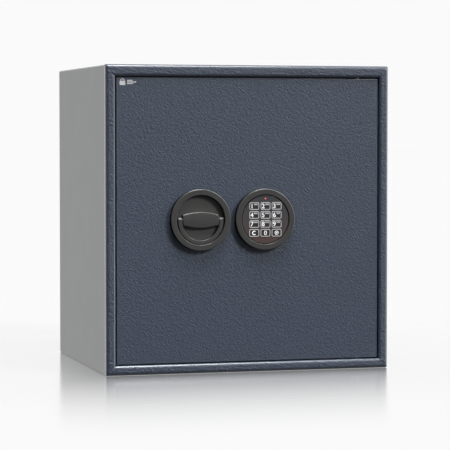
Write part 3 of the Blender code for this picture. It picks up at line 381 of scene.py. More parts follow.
def rounded(low_a, high_a, low_b, high_b, radius, steps=6):
    """A rectangle with round corners, anticlockwise."""
    corners = (
        (low_a + radius, low_b + radius, 180),
        (high_a - radius, low_b + radius, 270),
        (high_a - radius, high_b - radius, 0),
        (low_a + radius, high_b - radius, 90),
    )
    points = []
    for a, b, start in corners:
        points += arc((a, b), radius, start, start + 90, steps)
    return points


def rectangle(low_a, high_a, low_b, high_b):
    """A rectangle, anticlockwise."""
    return [(low_a, low_b), (high_a, low_b), (high_a, high_b), (low_a, high_b)]


# ---- solids ----

ALONG = {"X": Vector((1, 0, 0)), "Y": Vector((0, 1, 0)), "Z": Vector((0, 0, 1))}


def prism(solid, outline, low, high, axis="Y"):
    """Add an outline pushed along an axis. Its two coordinates are the other axes, in order."""
    def corner(a, b, along):
        return {"X": (along, a, b), "Y": (a, along, b), "Z": (a, b, along)}[axis]

    base = solid.faces.new([solid.verts.new(corner(a, b, low)) for a, b in outline])
    swept = bmesh.ops.extrude_face_region(solid, geom=[base])
    moved = [item for item in swept["geom"] if isinstance(item, bmesh.types.BMVert)]
    bmesh.ops.translate(solid, vec=ALONG[axis] * (high - low), verts=moved)


def turned(solid, profile, centre, axis="Y", segments=128, closed=False):
    """Add a solid of revolution from (radius, distance along the axis) points."""
    centre = Vector(centre)
    out = Vector((1, 0, 0)) if axis != "X" else Vector((0, 0, 1))
    rim = [
        solid.verts.new(centre + out * radius + ALONG[axis] * along) for radius, along in profile
    ]
    edges = [solid.edges.new(pair) for pair in zip(rim, rim[1:])]
    if closed:
        edges.append(solid.edges.new((rim[-1], rim[0])))
    before = set(solid.verts) - set(rim)
    bmesh.ops.spin(solid, geom=rim + edges, cent=centre, axis=ALONG[axis], angle=math.tau,
                   steps=segments, use_merge=False)
    fresh = [vertex for vertex in solid.verts if vertex not in before]
    bmesh.ops.remove_doubles(solid, verts=fresh, dist=1e-6)


def rod(solid, radius, start, end, centre, axis="Y", segments=48):
    """Add a plain cylinder between two distances along its axis."""
    turned(solid, [(0, start), (radius, start), (radius, end), (0, end)], centre, axis, segments)


def loft(solid, loops, closed=True):
    """Add a skin through loops with equal point counts."""
    rings = [[solid.verts.new(point) for point in loop] for loop in loops]
    following = rings[1:] + (rings[:1] if closed else [])
    for ring, after_ring in zip(rings, following):
        count = len(ring)
        for index in range(count):
            after = (index + 1) % count
            solid.faces.new((ring[index], ring[after], after_ring[after], after_ring[index]))
    return rings


def capped_loft(solid, loops):
    """Add a skin through loops with a flat face over the first and the last one."""
    rings = loft(solid, loops, closed=False)
    solid.faces.new(rings[0])
    solid.faces.new(rings[-1])


# ---- pieces ----

surfaces = make_surfaces()
slots = {part["node"]: part["material_slot"] for part in frame["record"]["subparts"]}


def make(name, solid, material, sharp=30):
    """Turn a solid into an object with smooth shading between its sharp edges."""
    bmesh.ops.recalc_face_normals(solid, faces=solid.faces)
    mesh = bpy.data.meshes.new(name)
    solid.to_mesh(mesh)
    solid.free()
    mesh.shade_smooth()
    mesh.set_sharp_from_angle(angle=math.radians(sharp))
    if material:
        mesh.materials.append(surfaces[material])
    item = bpy.data.objects.new(name, mesh)
    bpy.context.scene.collection.objects.link(item)
    return item


def cut(item, solid, sharp=35):
    """Take a hidden shape out of an object."""
    guide = make(item.name + "_guide", solid, None)
    guide.hide_render = True
    guide.display_type = "WIRE"
    step = item.modifiers.new("Cut", "BOOLEAN")
    step.operation = "DIFFERENCE"
    step.solver = "EXACT"
    step.object = guide
    bake(item)
    item.data.set_sharp_from_angle(angle=math.radians(sharp))
    bpy.data.objects.remove(guide, do_unlink=True)


def bake(item):
    """Apply an object's modifiers to its mesh."""
    graph = bpy.context.evaluated_depsgraph_get()
    done = bpy.data.meshes.new_from_object(item.evaluated_get(graph))
    item.modifiers.clear()
    item.data = done


def even_shading(item):
    """Keep the shading of flat faces flat beside rounded edges."""
    for old in [step for step in item.modifiers if step.type == "WEIGHTED_NORMAL"]:
        item.modifiers.remove(old)
    shade = item.modifiers.new("Shade", "WEIGHTED_NORMAL")
    shade.keep_sharp = True


def soften(item, width, segments, angle):
    """Round an object's sharp edges."""
    step = item.modifiers.new("Soft", "BEVEL")
    step.width = width
    step.segments = segments
    step.limit_method = "ANGLE"
    step.angle_limit = math.radians(angle)
    step.use_clamp_overlap = True
    even_shading(item)


def stand_in(item, body, *nodes):
    """Let a piece ride on a body in place of CAD nodes, which are hidden."""
    even_shading(item)
    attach(item, body)
    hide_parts(*nodes)


def extra(item, body):
    """Let a piece that no CAD node stands for ride on a body."""
    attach(item, body)


# ---- cabinet ----

def frame_moulding():
    """Half-round moulding round the door, its welded corners dressed to a small radius.

    Its section is (inset from the outer edge, share of the top rail's extra width, depth).
    """
    outer_radius, inner_radius = 6 * MM, 5 * MM
    section = [(0, 0, FLANGE_DEPTH)]
    for inset, depth in arc((outer_radius, outer_radius), outer_radius, 180, 270, 12):
        section.append((inset, 0, depth))
    for inset, depth in arc((BEAD_WIDTH - inner_radius, inner_radius), inner_radius, 270, 360, 10):
        section.append((inset, 1, depth))
    section += [
        (BEAD_WIDTH, 1, BEAD_DEPTH), (FLANGE_WIDTH, 0, BEAD_DEPTH), (FLANGE_WIDTH, 0, FLANGE_DEPTH),
    ]
    solid = bmesh.new()
    loops = []
    for inset, share, depth in section:
        radius = 2.4 * MM - 0.12 * inset
        top = HEIGHT - inset - share * (BEAD_TOP_WIDTH - BEAD_WIDTH)
        outline = rounded(inset - HALF_WIDTH, HALF_WIDTH - inset, inset, top, radius)
        loops.append([at(x, depth, z) for x, z in outline])
    loft(solid, loops)
    stand_in(make("moulding", solid, "moulding_paint"), "cabinet", "front_frame")


def cabinet_body():
    """Folded sides, top and floor, with the anchor holes."""
    half = HALF_WIDTH - BODY_INSET
    top = HEIGHT - BODY_INSET
    outer = rounded(-half, half, 0, top, 2.5 * MM, 8)
    inner = rounded(WALL - half, half - WALL, WALL, top - WALL, 0.5 * MM, 8)
    front = FLANGE_DEPTH + FIT
    hole = 7 * MM
    solid = bmesh.new()
    loops = [
        [at(x, depth, z) for x, z in outline]
        for outline, depth in ((outer, front), (outer, BACK), (inner, BACK), (inner, front))
    ]
    loft(solid, loops)
    item = make("body", solid, "grey_paint")
    cutter = bmesh.new()
    for x in (-ANCHOR_HALF_SPACING, ANCHOR_HALF_SPACING):
        rod(cutter, hole, -WALL, 2 * WALL, at(x, ANCHOR_DEPTH, 0), "Z")
    cut(item, cutter)
    soften(item, 0.4 * MM, segments=2, angle=50)
    stand_in(item, "cabinet", "body_wrap")


def welds():
    """Short fillet welds inside the cabinet, where its side walls meet the back panel."""
    solid = bmesh.new()
    wall = HALF_WIDTH - BODY_INSET - WALL
    radius, pitch, depth = 1.3 * MM, 1.4 * MM, 384.8 * MM
    for side in (-1, 1):
        for height in (70, 180, 320, 430):
            for lump in range(14):
                place = at(side * (wall - 0.4 * MM), depth, height * MM + pitch * lump)
                bmesh.ops.create_uvsphere(solid, u_segments=10, v_segments=6, radius=radius,
                                          matrix=Matrix.Translation(place))
    extra(make("back_welds", solid, "grey_paint", 60), "cabinet")


# ---- door ----

def door_skin():
    """Front plate with eased edges and a shallow rebate behind them."""
    rebate, edge_back = 1.8 * MM, 5.8 * MM
    bush_hole, cable_hole = 8.3 * MM, 6 * MM
    front = rectangle(-DOOR_HALF, DOOR_HALF, DOOR_LOW, DOOR_HIGH)
    rear = rectangle(rebate - DOOR_HALF, DOOR_HALF - rebate, DOOR_LOW + rebate, DOOR_HIGH - rebate)
    loops = ((front, DOOR_FRONT), (front, edge_back), (rear, edge_back), (rear, DOOR_BACK))
    solid = bmesh.new()
    capped_loft(solid, [[at(x, depth, z) for x, z in outline] for outline, depth in loops])
    item = make("door_skin", solid, "graphite_paint")
    cutter = bmesh.new()
    rod(cutter, bush_hole, 0, 2 * DOOR_BACK, at(HANDLE[0], 0, HANDLE[1]))
    rod(cutter, cable_hole, 0, 2 * DOOR_BACK, at(KEYPAD[0], 0, KEYPAD[1]))
    cut(item, cutter)
    soften(item, 0.5 * MM, segments=3, angle=60)
    stand_in(item, "door", "door_plate")


def door_mark():
    """Small plain padlock sign and three plain bars, printed in the door's upper left corner."""
    solid = bmesh.new()
    front, back = FRONT + DOOR_FRONT - 0.12 * MM, FRONT + DOOR_FRONT - 0.02 * MM
    x, z = -211 * MM, 472.4 * MM
    half, foot, shoulder = 4.6 * MM, z - 5.6 * MM, z + 1.2 * MM
    prism(solid, rounded(x - half, x + half, foot, shoulder, 0.8 * MM), front, back)
    bow = (x, z + 1.4 * MM)
    prism(solid, arc(bow, 3.6 * MM, 0, 180, 20) + arc(bow, 2.3 * MM, 180, 0, 20), front, back)
    left, thick = -203.4 * MM, 1.6 * MM
    for low, length in ((1.0, 9.0), (-1.5, 15.0), (-4.0, 10.0)):
        base = z + low * MM
        bar = rounded(left, left + length * MM, base, base + thick, 0.4 * MM)
        prism(solid, bar, front, back)
    extra(make("door_mark", solid, "print_ink"), "door")


def casing():
    """Folded door casing with bent corners, a rear lip and the bolt holes."""
    def outline(inset):
        return rounded(CASING[0] + inset, CASING[1] - inset, CASING[2] + inset,
                       CASING[3] - inset, max(2.4 * MM - inset, 0.4 * MM), 5)

    front, back, inside = DOOR_BACK + FIT, CASING_BACK, CASING_BACK - 2 * MM
    bend, lip, sheet = 1.6 * MM, 14 * MM, 2 * MM
    bolt_hole, bolt_depth = 10.5 * MM, 38 * MM
    solid = bmesh.new()
    loops = [(outline(0), front), (outline(0), back - bend)]
    for step in range(1, 5):
        angle = math.radians(90 * step / 4)
        loops.append((outline(bend * (1 - math.cos(angle))), back - bend * (1 - math.sin(angle))))
    loops += [
        (outline(lip), back), (outline(lip), inside), (outline(sheet), inside),
        (outline(sheet), front),
    ]
    loft(solid, [[at(x, depth, z) for x, z in points] for points, depth in loops])
    item = make("casing", solid, "grey_paint")
    cutter = bmesh.new()
    for height in (115 * MM, HANDLE[1], 384 * MM):
        place = at(CASING[0], bolt_depth, height)
        rod(cutter, bolt_hole, -WALL, 2 * WALL, place, "X", 64)
    cut(item, cutter)
    stand_in(item, "door", "door_casing")


def cover():
    """Rear cover with rounded corners and a shallow pressed field that stiffens it."""
    def loop(inset, depth, radius):
        points = rounded(CASING[0] + inset, CASING[1] - inset, CASING[2] + inset,
                         CASING[3] - inset, radius, 6)
        return [at(x, depth, z) for x, z in points]

    front, back = CASING_BACK + FIT, COVER_BACK
    field = 0.7 * MM
    solid = bmesh.new()
    loops = [
        loop(0.4 * MM, front, 1.6 * MM), loop(0, front + 0.4 * MM, 2 * MM),
        loop(0, back - 0.4 * MM, 2 * MM), loop(0.4 * MM, back, 1.6 * MM),
        loop(30 * MM, back, 7 * MM), loop(30.7 * MM, back + 0.15 * MM, 7 * MM),
        loop(32 * MM, back + field, 8 * MM), loop(33 * MM, back + field + 0.1 * MM, 8 * MM),
    ]
    capped_loft(solid, loops)
    stand_in(make("cover", solid, "grey_paint", 50), "door", "rear_cover")


def cover_screw(number, x, z):
    """Pan-head screw with a cross recess."""
    solid = bmesh.new()
    seat = COVER_BACK + FIT
    head = [(0, -7 * MM), (2 * MM, -7 * MM), (2 * MM, 0), (4 * MM, 0)]
    head += [(r * MM, d * MM) for r, d in ((4, 0.8), (3.7, 1.3), (3.0, 1.8), (1.9, 2.1), (0, 2.2))]
    turned(solid, head, at(x, seat, z), segments=40)
    item = make("screw_%d" % number, solid, "zinc_steel", 40)
    top = FRONT + seat + 1.0 * MM
    long, short = 1.9 * MM, 0.4 * MM
    for half_x, half_z in ((long, short), (short, long)):
        cutter = bmesh.new()
        slot = rectangle(x - half_x, x + half_x, z - half_z, z + half_z)
        prism(cutter, slot, top, top + 3 * MM)
        cut(item, cutter)
    stand_in(item, "door", "cover_screw_%d" % number)


def cover_screws():
    """One screw near each corner of the cover."""
    left, right, bottom, top = CASING
    inset = 10 * MM
    heights, sides = (bottom + inset, top - inset), (left + inset, right - inset)
    for number, (x, z) in enumerate([(x, z) for z in heights for x in sides], 1):
        cover_screw(number, x, z)


# ---- rosettes and handle ----

def rosette(name, centre):
    """Ring with a flat rounded rim that overhangs a narrower foot all round."""
    front, back = -6 * MM, DOOR_FRONT - FIT
    edge, lead, chamfer = 1.5 * MM, 0.8 * MM, 0.3 * MM
    profile = [(RING_BORE, back), (RING_FOOT, back), (RING_FOOT, RIM_BACK)]
    profile += [(RING_RADIUS - chamfer, RIM_BACK), (RING_RADIUS, RIM_BACK - chamfer)]
    profile += arc((RING_RADIUS - edge, front + edge), edge, 0, -90, 10)
    profile += arc((RING_BORE + lead, front + lead), lead, -90, -180, 6)
    solid = bmesh.new()
    turned(solid, profile, at(centre[0], 0, centre[1]), segments=180, closed=True)
    return make(name, solid, "satin_metal", 40)


def shade_ring(name, centre):
    """Black ring that fills the space behind a rosette's rim: painted shade, standing in for the
    shadow at the rosette's foot.
    """
    inner, outer = RING_FOOT + 0.05 * MM, RING_RADIUS - 0.1 * MM
    front, back, chamfer = RIM_BACK + 0.05 * MM, 3.85 * MM, 0.3 * MM
    profile = [(inner, back), (outer - chamfer, back), (outer, back - chamfer)]
    profile += [(outer, front + chamfer), (outer - chamfer, front), (inner, front)]
    solid = bmesh.new()
    turned(solid, profile, at(centre[0], 0, centre[1]), segments=180, closed=True)
    extra(make(name, solid, "shade_rubber", 40), "door")


def handle_rosette():
    """The handle's ring, with the engraved mark that shows the closed position."""
    item = rosette("handle_rosette", HANDLE)
    x, z = HANDLE
    cutter = bmesh.new()
    half, foot, head = 0.35 * MM, z + 43 * MM, z + 47 * MM
    groove = rounded(x - half, x + half, foot, head, 0.3 * MM, 3)
    prism(cutter, groove, FRONT - 8 * MM, FRONT - 5.7 * MM)
    cut(item, cutter)
    stand_in(item, "door", "handle_ring")


def bar_outline(grow):
    """Lens-shaped outline of the grip bar about the handle's centre, made larger all round."""
    half, end, middle = 30 * MM + grow, 8.5 * MM + grow, 13 * MM + grow
    rise = middle - end
    radius = (half ** 2 + rise ** 2) / (2 * rise)
    spread = math.degrees(math.asin(half / radius))
    upper = arc((0, middle - radius), radius, 90 - spread, 90 + spread, 40)
    lower = arc((0, radius - middle), radius, 270 - spread, 270 + spread, 40)
    return [(HANDLE[0] + x, HANDLE[1] + z) for x, z in upper + lower]


def grip_dish():
    """Dish floor that turns in the ring, in a lighter copy of the ring's metal: painted light
    against the shade in the ring's recess.
    """
    radius, bend, bush = 40.2 * MM, 1.2 * MM, 6.4 * MM
    face, back, recess = 2 * MM, 3.5 * MM, 3 * MM
    profile = [(0, face), (radius - bend, face)]
    profile += arc((radius - bend, face + bend), bend, -90, 0, 5)[1:]
    profile += [(radius, back), (bush, back), (bush, recess), (0, recess)]
    solid = bmesh.new()
    turned(solid, profile, at(HANDLE[0], 0, HANDLE[1]), segments=128)
    stand_in(make("dish", solid, "dish_metal_painted_light", 40), "handle", "handle_dish")


def grip_bar():
    """Grip bar across the dish, its front edges well rounded."""
    solid = bmesh.new()
    shoulder, bend = -3.4, 1.6
    layers = [(0.0, 2.2), (0.0, shoulder)]
    for step in range(1, 7):
        angle = math.radians(90 * step / 6)
        layers.append((-bend * (1 - math.cos(angle)), shoulder - bend * math.sin(angle)))
    loops = [
        [at(x, depth * MM, z) for x, z in bar_outline(grow * MM)] for grow, depth in layers
    ]
    capped_loft(solid, loops)
    extra(make("bar", solid, "satin_metal", 35), "handle")


def bail_outline():
    """U-shaped outline of the bail: a half circle with two short arms and squared tips."""
    inner, outer = 31.3 * MM, 37.6 * MM
    bow = BAIL_PIVOT - 2.7 * MM
    corner = 1 * MM
    top = BAIL_TIP - corner
    x = HANDLE[0]
    outline = arc((x, bow), outer, 180, 360, 72)
    outline += arc((x + outer - corner, top), corner, 0, 90, 4)
    outline += arc((x + inner + corner, top), corner, 90, 180, 4)
    outline += arc((x, bow), inner, 360, 180, 72)
    outline += arc((x - inner - corner, top), corner, 0, 90, 4)
    outline += arc((x - outer + corner, top), corner, 90, 180, 4)
    return outline


def grip_bail():
    """Folding bail with rounded edges and a slanted facet on each tip."""
    solid = bmesh.new()
    half = 2 * MM
    prism(solid, bail_outline(), FRONT + BAIL_DEPTH - half, FRONT + BAIL_DEPTH + half)
    item = make("bail", solid, "satin_metal", 35)
    cutter = bmesh.new()
    front = FRONT + BAIL_DEPTH - half
    facet, over = 2.9 * MM, 2 * MM
    slope = [(front - over, BAIL_TIP + over), (front - over, BAIL_TIP - facet - over),
             (front + facet + over, BAIL_TIP + over)]
    prism(cutter, slope, HANDLE[0] - 60 * MM, HANDLE[0] + 60 * MM, "X")
    cut(item, cutter)
    soften(item, 0.9 * MM, segments=4, angle=40)
    stand_in(item, "bail", "handle_bail")


# ---- keypad ----

KEYS = ("1", "2", "3", "4", "5", "6", "7", "8", "9", "clear", "0", "enter")


def key_places():
    """Name and centre of each key, from the top left."""
    for index, name in enumerate(KEYS):
        row, column = divmod(index, 3)
        yield name, KEYPAD[0] + (column - 1) * KEY_PITCH[0], KEYPAD[1] + (1.5 - row) * KEY_PITCH[1]


def key_outline(x, z, grow):
    """Round-cornered outline of a key, made larger all round."""
    half_x, half_z = KEY_SIZE[0] / 2 + grow, KEY_SIZE[1] / 2 + grow
    return rounded(x - half_x, x + half_x, z - half_z, z + half_z, KEY_CORNER + grow)


def keypad_face():
    """Fascia with a softened rim, a window for each key and the indicator's hole."""
    radius, front, back = FASCIA_RADIUS, -4.6 * MM, -2.6 * MM
    rim, margin = 0.4 * MM, 0.7 * MM
    profile = [(0, front), (radius - margin, front), (radius - rim, front)]
    profile += arc((radius - rim, front + rim), rim, -90, 0, 5)[1:]
    profile += [(radius, back), (0, back)]
    solid = bmesh.new()
    turned(solid, profile, at(KEYPAD[0], 0, KEYPAD[1]), segments=180)
    item = make("keypad_face", solid, "fascia_gloss", 40)
    cutter = bmesh.new()
    ahead, behind = -8 * MM, 4 * MM
    for _, x, z in key_places():
        prism(cutter, key_outline(x, z, FIT), FRONT + ahead, FRONT + behind)
    rod(cutter, LAMP_RADIUS + FIT, ahead, behind, at(KEYPAD[0], 0, LAMP_HEIGHT))
    cut(item, cutter)
    stand_in(item, "door", "keypad_fascia")


def key_cap(name, x, z):
    """Key with a slightly cushioned face."""
    solid = bmesh.new()
    layers = [(0.0, -0.8), (0.0, -4.55), (-0.14, -4.82), (-0.5, -4.95), (-1.2, -5.0)]
    loops = [
        [at(a, depth * MM, b) for a, b in key_outline(x, z, grow * MM)] for grow, depth in layers
    ]
    capped_loft(solid, loops)
    stand_in(make("cap_" + name, solid, "key_plastic", 50), "key_" + name, "key_" + name)


def add_digit(solid, text, x, z, height):
    """Add a digit as thin raised print, facing forwards and centred on a point."""
    curve = bpy.data.curves.new("digit", "FONT")
    digit_share, stroke_gain, half_thick = 0.69, 0.022, 0.04 * MM
    curve.body = text
    curve.size = height / digit_share
    curve.align_x = "CENTER"
    curve.offset = stroke_gain * height
    curve.extrude = half_thick
    curve.resolution_u = 4
    item = bpy.data.objects.new("digit", curve)
    bpy.context.scene.collection.objects.link(item)
    mesh = bpy.data.meshes.new_from_object(item.evaluated_get(
        bpy.context.evaluated_depsgraph_get()))
    place = Matrix.Translation(at(x, KEY_FRONT - half_thick, z - height / 2))
    mesh.transform(place @ Matrix.Rotation(math.radians(90), 4, "X"))
    solid.from_mesh(mesh)
    bpy.data.meshes.remove(mesh)
    bpy.data.objects.remove(item, do_unlink=True)


def add_band(solid, outer, inner, front, back):
    """Add a flat closed band between two outlines with equal point counts."""
    loops = ((outer, front), (outer, back), (inner, back), (inner, front))
    loft(solid, [[at(x, depth, z) for x, z in outline] for outline, depth in loops])


def key_print(name, x, z):
    """Grey outline and tally marks on a key, and its digit or sign in white."""
    front, back = KEY_FRONT - 0.08 * MM, KEY_FRONT
    frame_print = bmesh.new()
    add_band(frame_print, key_outline(x, z, -0.15 * MM), key_outline(x, z, -1.15 * MM), front,
             back + 0.12 * MM)
    sign = bmesh.new()
    if name == "clear":
        ring = arc((x, z), 3.7 * MM, 45, 315, 28) + arc((x, z), 2.0 * MM, 315, 45, 28)
        prism(sign, ring, FRONT + front, FRONT + back)
    elif name == "enter":
        add_band(sign, arc((x, z), 3.3 * MM, 0, 345, 23), arc((x, z), 2.3 * MM, 0, 345, 23),
                 front, back)
        rod(sign, 1.3 * MM, front, back, at(x, 0, z), segments=24)
    elif name == "0":
        add_digit(sign, name, x, z, 7.0 * MM)
    else:
        add_digit(sign, name, x - 3.8 * MM, z, 7.4 * MM)
        for mark in range(3):
            left = x + (-0.1 + 2.05 * mark) * MM
            tall = rounded(left, left + 1.5 * MM, z + 1.5 * MM, z + 3.9 * MM, 0.3 * MM, 3)
            prism(frame_print, tall, FRONT + front, FRONT + back)
    extra(make("print_" + name, frame_print, "print_ink"), "key_" + name)
    extra(make("sign_" + name, sign, "print_white"), "key_" + name)


def lamp_lens():
    """Domed lens of the indicator."""
    shoulder = -4.4 * MM
    profile = [(0, 0), (LAMP_RADIUS, 0)] + arc((0, shoulder), LAMP_RADIUS, 0, -90, 10)[:-1]
    profile.append((0, shoulder - LAMP_RADIUS))
    solid = bmesh.new()
    turned(solid, profile, at(KEYPAD[0], 0, LAMP_HEIGHT), segments=32)
    stand_in(make("lamp_lens", solid, "red_lens", 60), "door", "led_lens")


def keypad():
    """The whole keypad: ring, fascia, keys, prints and indicator."""
    stand_in(rosette("keypad_rosette", KEYPAD), "door", "keypad_ring")
    keypad_face()
    for name, x, z in key_places():
        key_cap(name, x, z)
        key_print(name, x, z)
    lamp_lens()


# ---- inside ----

def shelf_sheet():
    """Shelf with bent front and rear edges."""
    front, back, top, thick = 80 * MM, 378 * MM, 252 * MM, 1.5 * MM
    low = top - 16 * MM

    def skin(inset):
        radius = 2.4 * MM - inset
        rear = arc((FRONT + back - inset - radius, top - inset - radius), radius, 0, 90, 6)
        fore = arc((FRONT + front + inset + radius, top - inset - radius), radius, 90, 180, 6)
        return [(FRONT + back - inset, low)] + rear + fore + [(FRONT + front + inset, low)]

    half = HALF_WIDTH - 6 * MM
    solid = bmesh.new()
    prism(solid, skin(0) + skin(thick)[::-1], -half, half, "X")
    item = make("shelf_sheet", solid, "grey_paint", 40)
    soften(item, 0.2 * MM, segments=2, angle=60)
    stand_in(item, "cabinet", "shelf")


def mat():
    """Felt mat with rounded edges and openings over the anchor holes."""
    low, high = WALL + FIT, WALL + FIT + 2 * MM
    half, front, back = 225 * MM, 70 * MM, 380 * MM
    opening = 10.5 * MM
    solid = bmesh.new()
    outline = rounded(-half, half, FRONT + front, FRONT + back, 6 * MM, 6)
    prism(solid, outline, low, high, "Z")
    item = make("mat", solid, "felt")
    cutter = bmesh.new()
    for x in (-ANCHOR_HALF_SPACING, ANCHOR_HALF_SPACING):
        rod(cutter, opening, 0, 16 * MM, at(x, ANCHOR_DEPTH, 0), "Z")
    cut(item, cutter)
    soften(item, 0.7 * MM, segments=3, angle=50)
    stand_in(item, "cabinet", "floor_mat")


# ---- carried-over CAD nodes ----

# Width of the rounded edges of each blocky CAD node, in millimetres.
EASED = {
    "back_panel": 0.5, "door_stop": 0.5, "hinge_bracket_upper": 0.6, "hinge_bracket_lower": 0.5,
    "shelf_rail_left": 0.25, "shelf_rail_right": 0.25, "hinge_block_upper": 0.6,
    "hinge_block_lower": 0.6, "claw_strip": 0.5, "bolt_carrier": 0.5, "crank_arm": 0.5,
    "lock_case": 1.0, "lock_bolt": 0.4, "battery_tray": 0.3, "battery": 0.5, "keypad_board": 0.15,
    "locking_bolt_1": 0.4, "locking_bolt_2": 0.4, "locking_bolt_3": 0.4, "spindle": 0.25,
    "crank_pin": 0.3, "spindle_bush": 0.3, "spindle_circlip": 0.15, "guide_stud_lower": 0.3,
    "guide_stud_upper": 0.3, "lock_screw_1": 0.4, "lock_screw_2": 0.4,
}

# CAD nodes with a finish other than their slot's: the bail's pin is near-black, painted shade in
# the gap between the grip bar and the bail's tips.
PAINTED_SHADE_FINISH = {"bail_pin": "pin_shade_steel"}


def dress_cad_nodes():
    """Give every CAD node its material and ease the edges of the blocky ones that show."""
    for name, item in frame["nodes"].items():
        item.data.materials.clear()
        item.data.materials.append(surfaces[PAINTED_SHADE_FINISH.get(name, slots[name])])
        if item.hide_render:
            continue
        weld = item.modifiers.new("Weld", "WELD")
        weld.merge_threshold = 0.01 * MM
        if name in EASED:
            soften(item, EASED[name] * MM, segments=2, angle=40)


# ---- stage ----

CAMERA_PLACE = (-0.95069, -3.47119, 0.39431)
CAMERA_YAW = 15.489
CAMERA_PITCH = 2.5815
LENS = 167.93


def add_camera():
    """Camera left of the safe, a little below its top, looking slightly down."""
    data = bpy.data.cameras.new("camera")
    data.lens = LENS
    data.sensor_width = 36
    item = bpy.data.objects.new("camera", data)
    item.location = CAMERA_PLACE
    item.rotation_euler = (math.radians(90 - CAMERA_PITCH), 0, math.radians(-CAMERA_YAW))
    bpy.context.scene.collection.objects.link(item)
    bpy.context.scene.camera = item


def add_sun(name, strength, angle, heading, elevation, mirrored=True):
    """Soft distant light. Heading 0 comes from the front, 90 from the right."""
    data = bpy.data.lights.new(name, "SUN")
    data.energy = strength
    data.angle = math.radians(angle)
    item = bpy.data.objects.new(name, data)
    item.visible_glossy = mirrored
    turn, rise = math.radians(heading), math.radians(elevation)
    source = Vector((math.sin(turn) * math.cos(rise), -math.cos(turn) * math.cos(rise),
                     math.sin(rise)))
    item.rotation_mode = "QUATERNION"
    item.rotation_quaternion = source.to_track_quat("Z", "Y")
    bpy.context.scene.collection.objects.link(item)


def product(tree, factors):
    """All factors multiplied together."""
    total = factors[0]
    for factor in factors[1:]:
        total = maths(tree, "MULTIPLY", total, factor)
    return total


def add_world():
    """Dim room: soft ceiling, pale ground, a white wall behind and a soft box at the right."""
    world = bpy.data.worlds.new("studio")
    world.use_nodes = True
    tree = world.node_tree
    tree.nodes.clear()
    heading = node(tree, "SeparateXYZ", {"Vector": node(tree, "TexCoord")["Generated"]})

    def ramp(axis, start, end, low=0.0, high=1.0):
        return node(tree, "MapRange", {
            "Value": heading[axis], "From Min": start, "From Max": end, "To Min": low,
            "To Max": high})[0]

    ceiling = ramp("Z", -0.1, 1.0, 0.06, 0.5)
    ground = ramp("Z", -0.5, -0.95, 0.0, 0.22)
    wall = product(tree, [
        ramp("Z", 0.4, 0.18), ramp("Z", -0.5, -0.35), ramp("Y", 0.0, 0.3, 0.0, WHITE[0])])
    box = product(tree, [
        ramp("X", 0.6, 0.75), ramp("Y", -0.55, -0.45), ramp("Y", 0.05, -0.05),
        ramp("Z", 0.6, 0.4), ramp("Z", -0.4, -0.2), 2.6])
    brightness = maths(tree, "ADD", box, maths(
        tree, "MAXIMUM", wall, maths(tree, "ADD", ceiling, ground)))
    fill = node(tree, "Background", {"Color": brightness})[0]
    backdrop = node(tree, "Background", {"Color": WHITE})[0]
    seen = node(tree, "LightPath")["Is Camera Ray"]
    mix = tree.nodes.new("ShaderNodeMixShader")
    out = tree.nodes.new("ShaderNodeOutputWorld")
    tree.links.new(seen, mix.inputs[0])
    tree.links.new(fill, mix.inputs[1])
    tree.links.new(backdrop, mix.inputs[2])
    tree.links.new(mix.outputs[0], out.inputs[0])
    bpy.context.scene.world = world


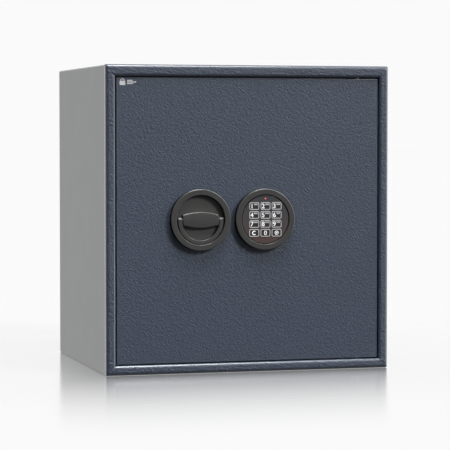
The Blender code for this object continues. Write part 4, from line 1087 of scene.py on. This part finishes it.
def floor_surface(albedo, glow):
    """Pale matt floor, lit from within and polished where the safe stands."""
    made = bpy.data.materials.new("floor")
    made.use_nodes = True
    tree = made.node_tree
    tree.nodes.clear()
    place = node(tree, "TexCoord")["Object"]
    middle = (0, FRONT + BACK / 2, 0)
    apart = node(tree, "VectorMath", {0: place, 1: middle}, operation="SUBTRACT")[0]
    folded = node(tree, "VectorMath", {0: apart}, operation="ABSOLUTE")[0]
    beyond = node(tree, "VectorMath", {0: folded, 1: (HALF_WIDTH, BACK / 2, 1)},
                  operation="SUBTRACT")[0]
    outside = node(tree, "VectorMath", {0: beyond, 1: (0, 0, 0)}, operation="MAXIMUM")[0]
    away = node(tree, "VectorMath", {0: outside}, operation="LENGTH")["Value"]
    reach, falloff, peak = 0.7, 1.8, 0.86
    near = node(tree, "MapRange", {
        "Value": away, "From Min": 0.0, "From Max": reach, "To Min": 1.0, "To Max": 0.0})[0]
    share = maths(tree, "MULTIPLY", maths(tree, "POWER", near, falloff), peak)
    matt = node(tree, "BsdfDiffuse", {"Color": (albedo, albedo, albedo, 1)})[0]
    lit = node(tree, "Emission", {"Color": (glow, glow, glow, 1)})[0]
    pale = tree.nodes.new("ShaderNodeAddShader")
    tree.links.new(matt, pale.inputs[0])
    tree.links.new(lit, pale.inputs[1])
    polish = node(tree, "BsdfAnisotropic", {"Color": (1, 1, 1, 1), "Roughness": 0.16})[0]
    mix = tree.nodes.new("ShaderNodeMixShader")
    out = tree.nodes.new("ShaderNodeOutputMaterial")
    tree.links.new(share, mix.inputs[0])
    tree.links.new(pale.outputs[0], mix.inputs[1])
    tree.links.new(polish, mix.inputs[2])
    tree.links.new(mix.outputs[0], out.inputs[0])
    return made


def add_floor(albedo, glow):
    """Wide floor just under the safe. It shows in no reflection and bounces no light."""
    reach, drop = 60, 0.2 * MM
    solid = bmesh.new()
    solid.faces.new([solid.verts.new((x, y, -drop))
                     for x, y in rectangle(-reach, reach, -reach, reach)])
    mesh = bpy.data.meshes.new("floor")
    solid.to_mesh(mesh)
    solid.free()
    mesh.materials.append(floor_surface(albedo, glow))
    item = bpy.data.objects.new("floor", mesh)
    item.visible_diffuse = False
    item.visible_glossy = False
    bpy.context.scene.collection.objects.link(item)


def build():
    """Every new piece, then the CAD nodes that stay, then the stage."""
    frame_moulding()
    cabinet_body()
    welds()
    door_skin()
    door_mark()
    casing()
    cover()
    cover_screws()
    handle_rosette()
    # Black rings under the rosettes' rims: painted shade at their feet.
    shade_ring("handle_shade_ring", HANDLE)
    shade_ring("keypad_shade_ring", KEYPAD)
    grip_dish()
    grip_bar()
    grip_bail()
    keypad()
    shelf_sheet()
    mat()
    dress_cad_nodes()
    add_world()
    add_sun("top", strength=5.2, angle=30, heading=10, elevation=76)
    add_sun("key", strength=2.1, angle=16, heading=40, elevation=30)
    add_sun("side", strength=0.35, angle=40, heading=-80, elevation=25, mirrored=False)
    add_floor(albedo=0.12, glow=0.665)
    add_camera()
    bpy.context.scene.view_settings.view_transform = "Standard"


build()
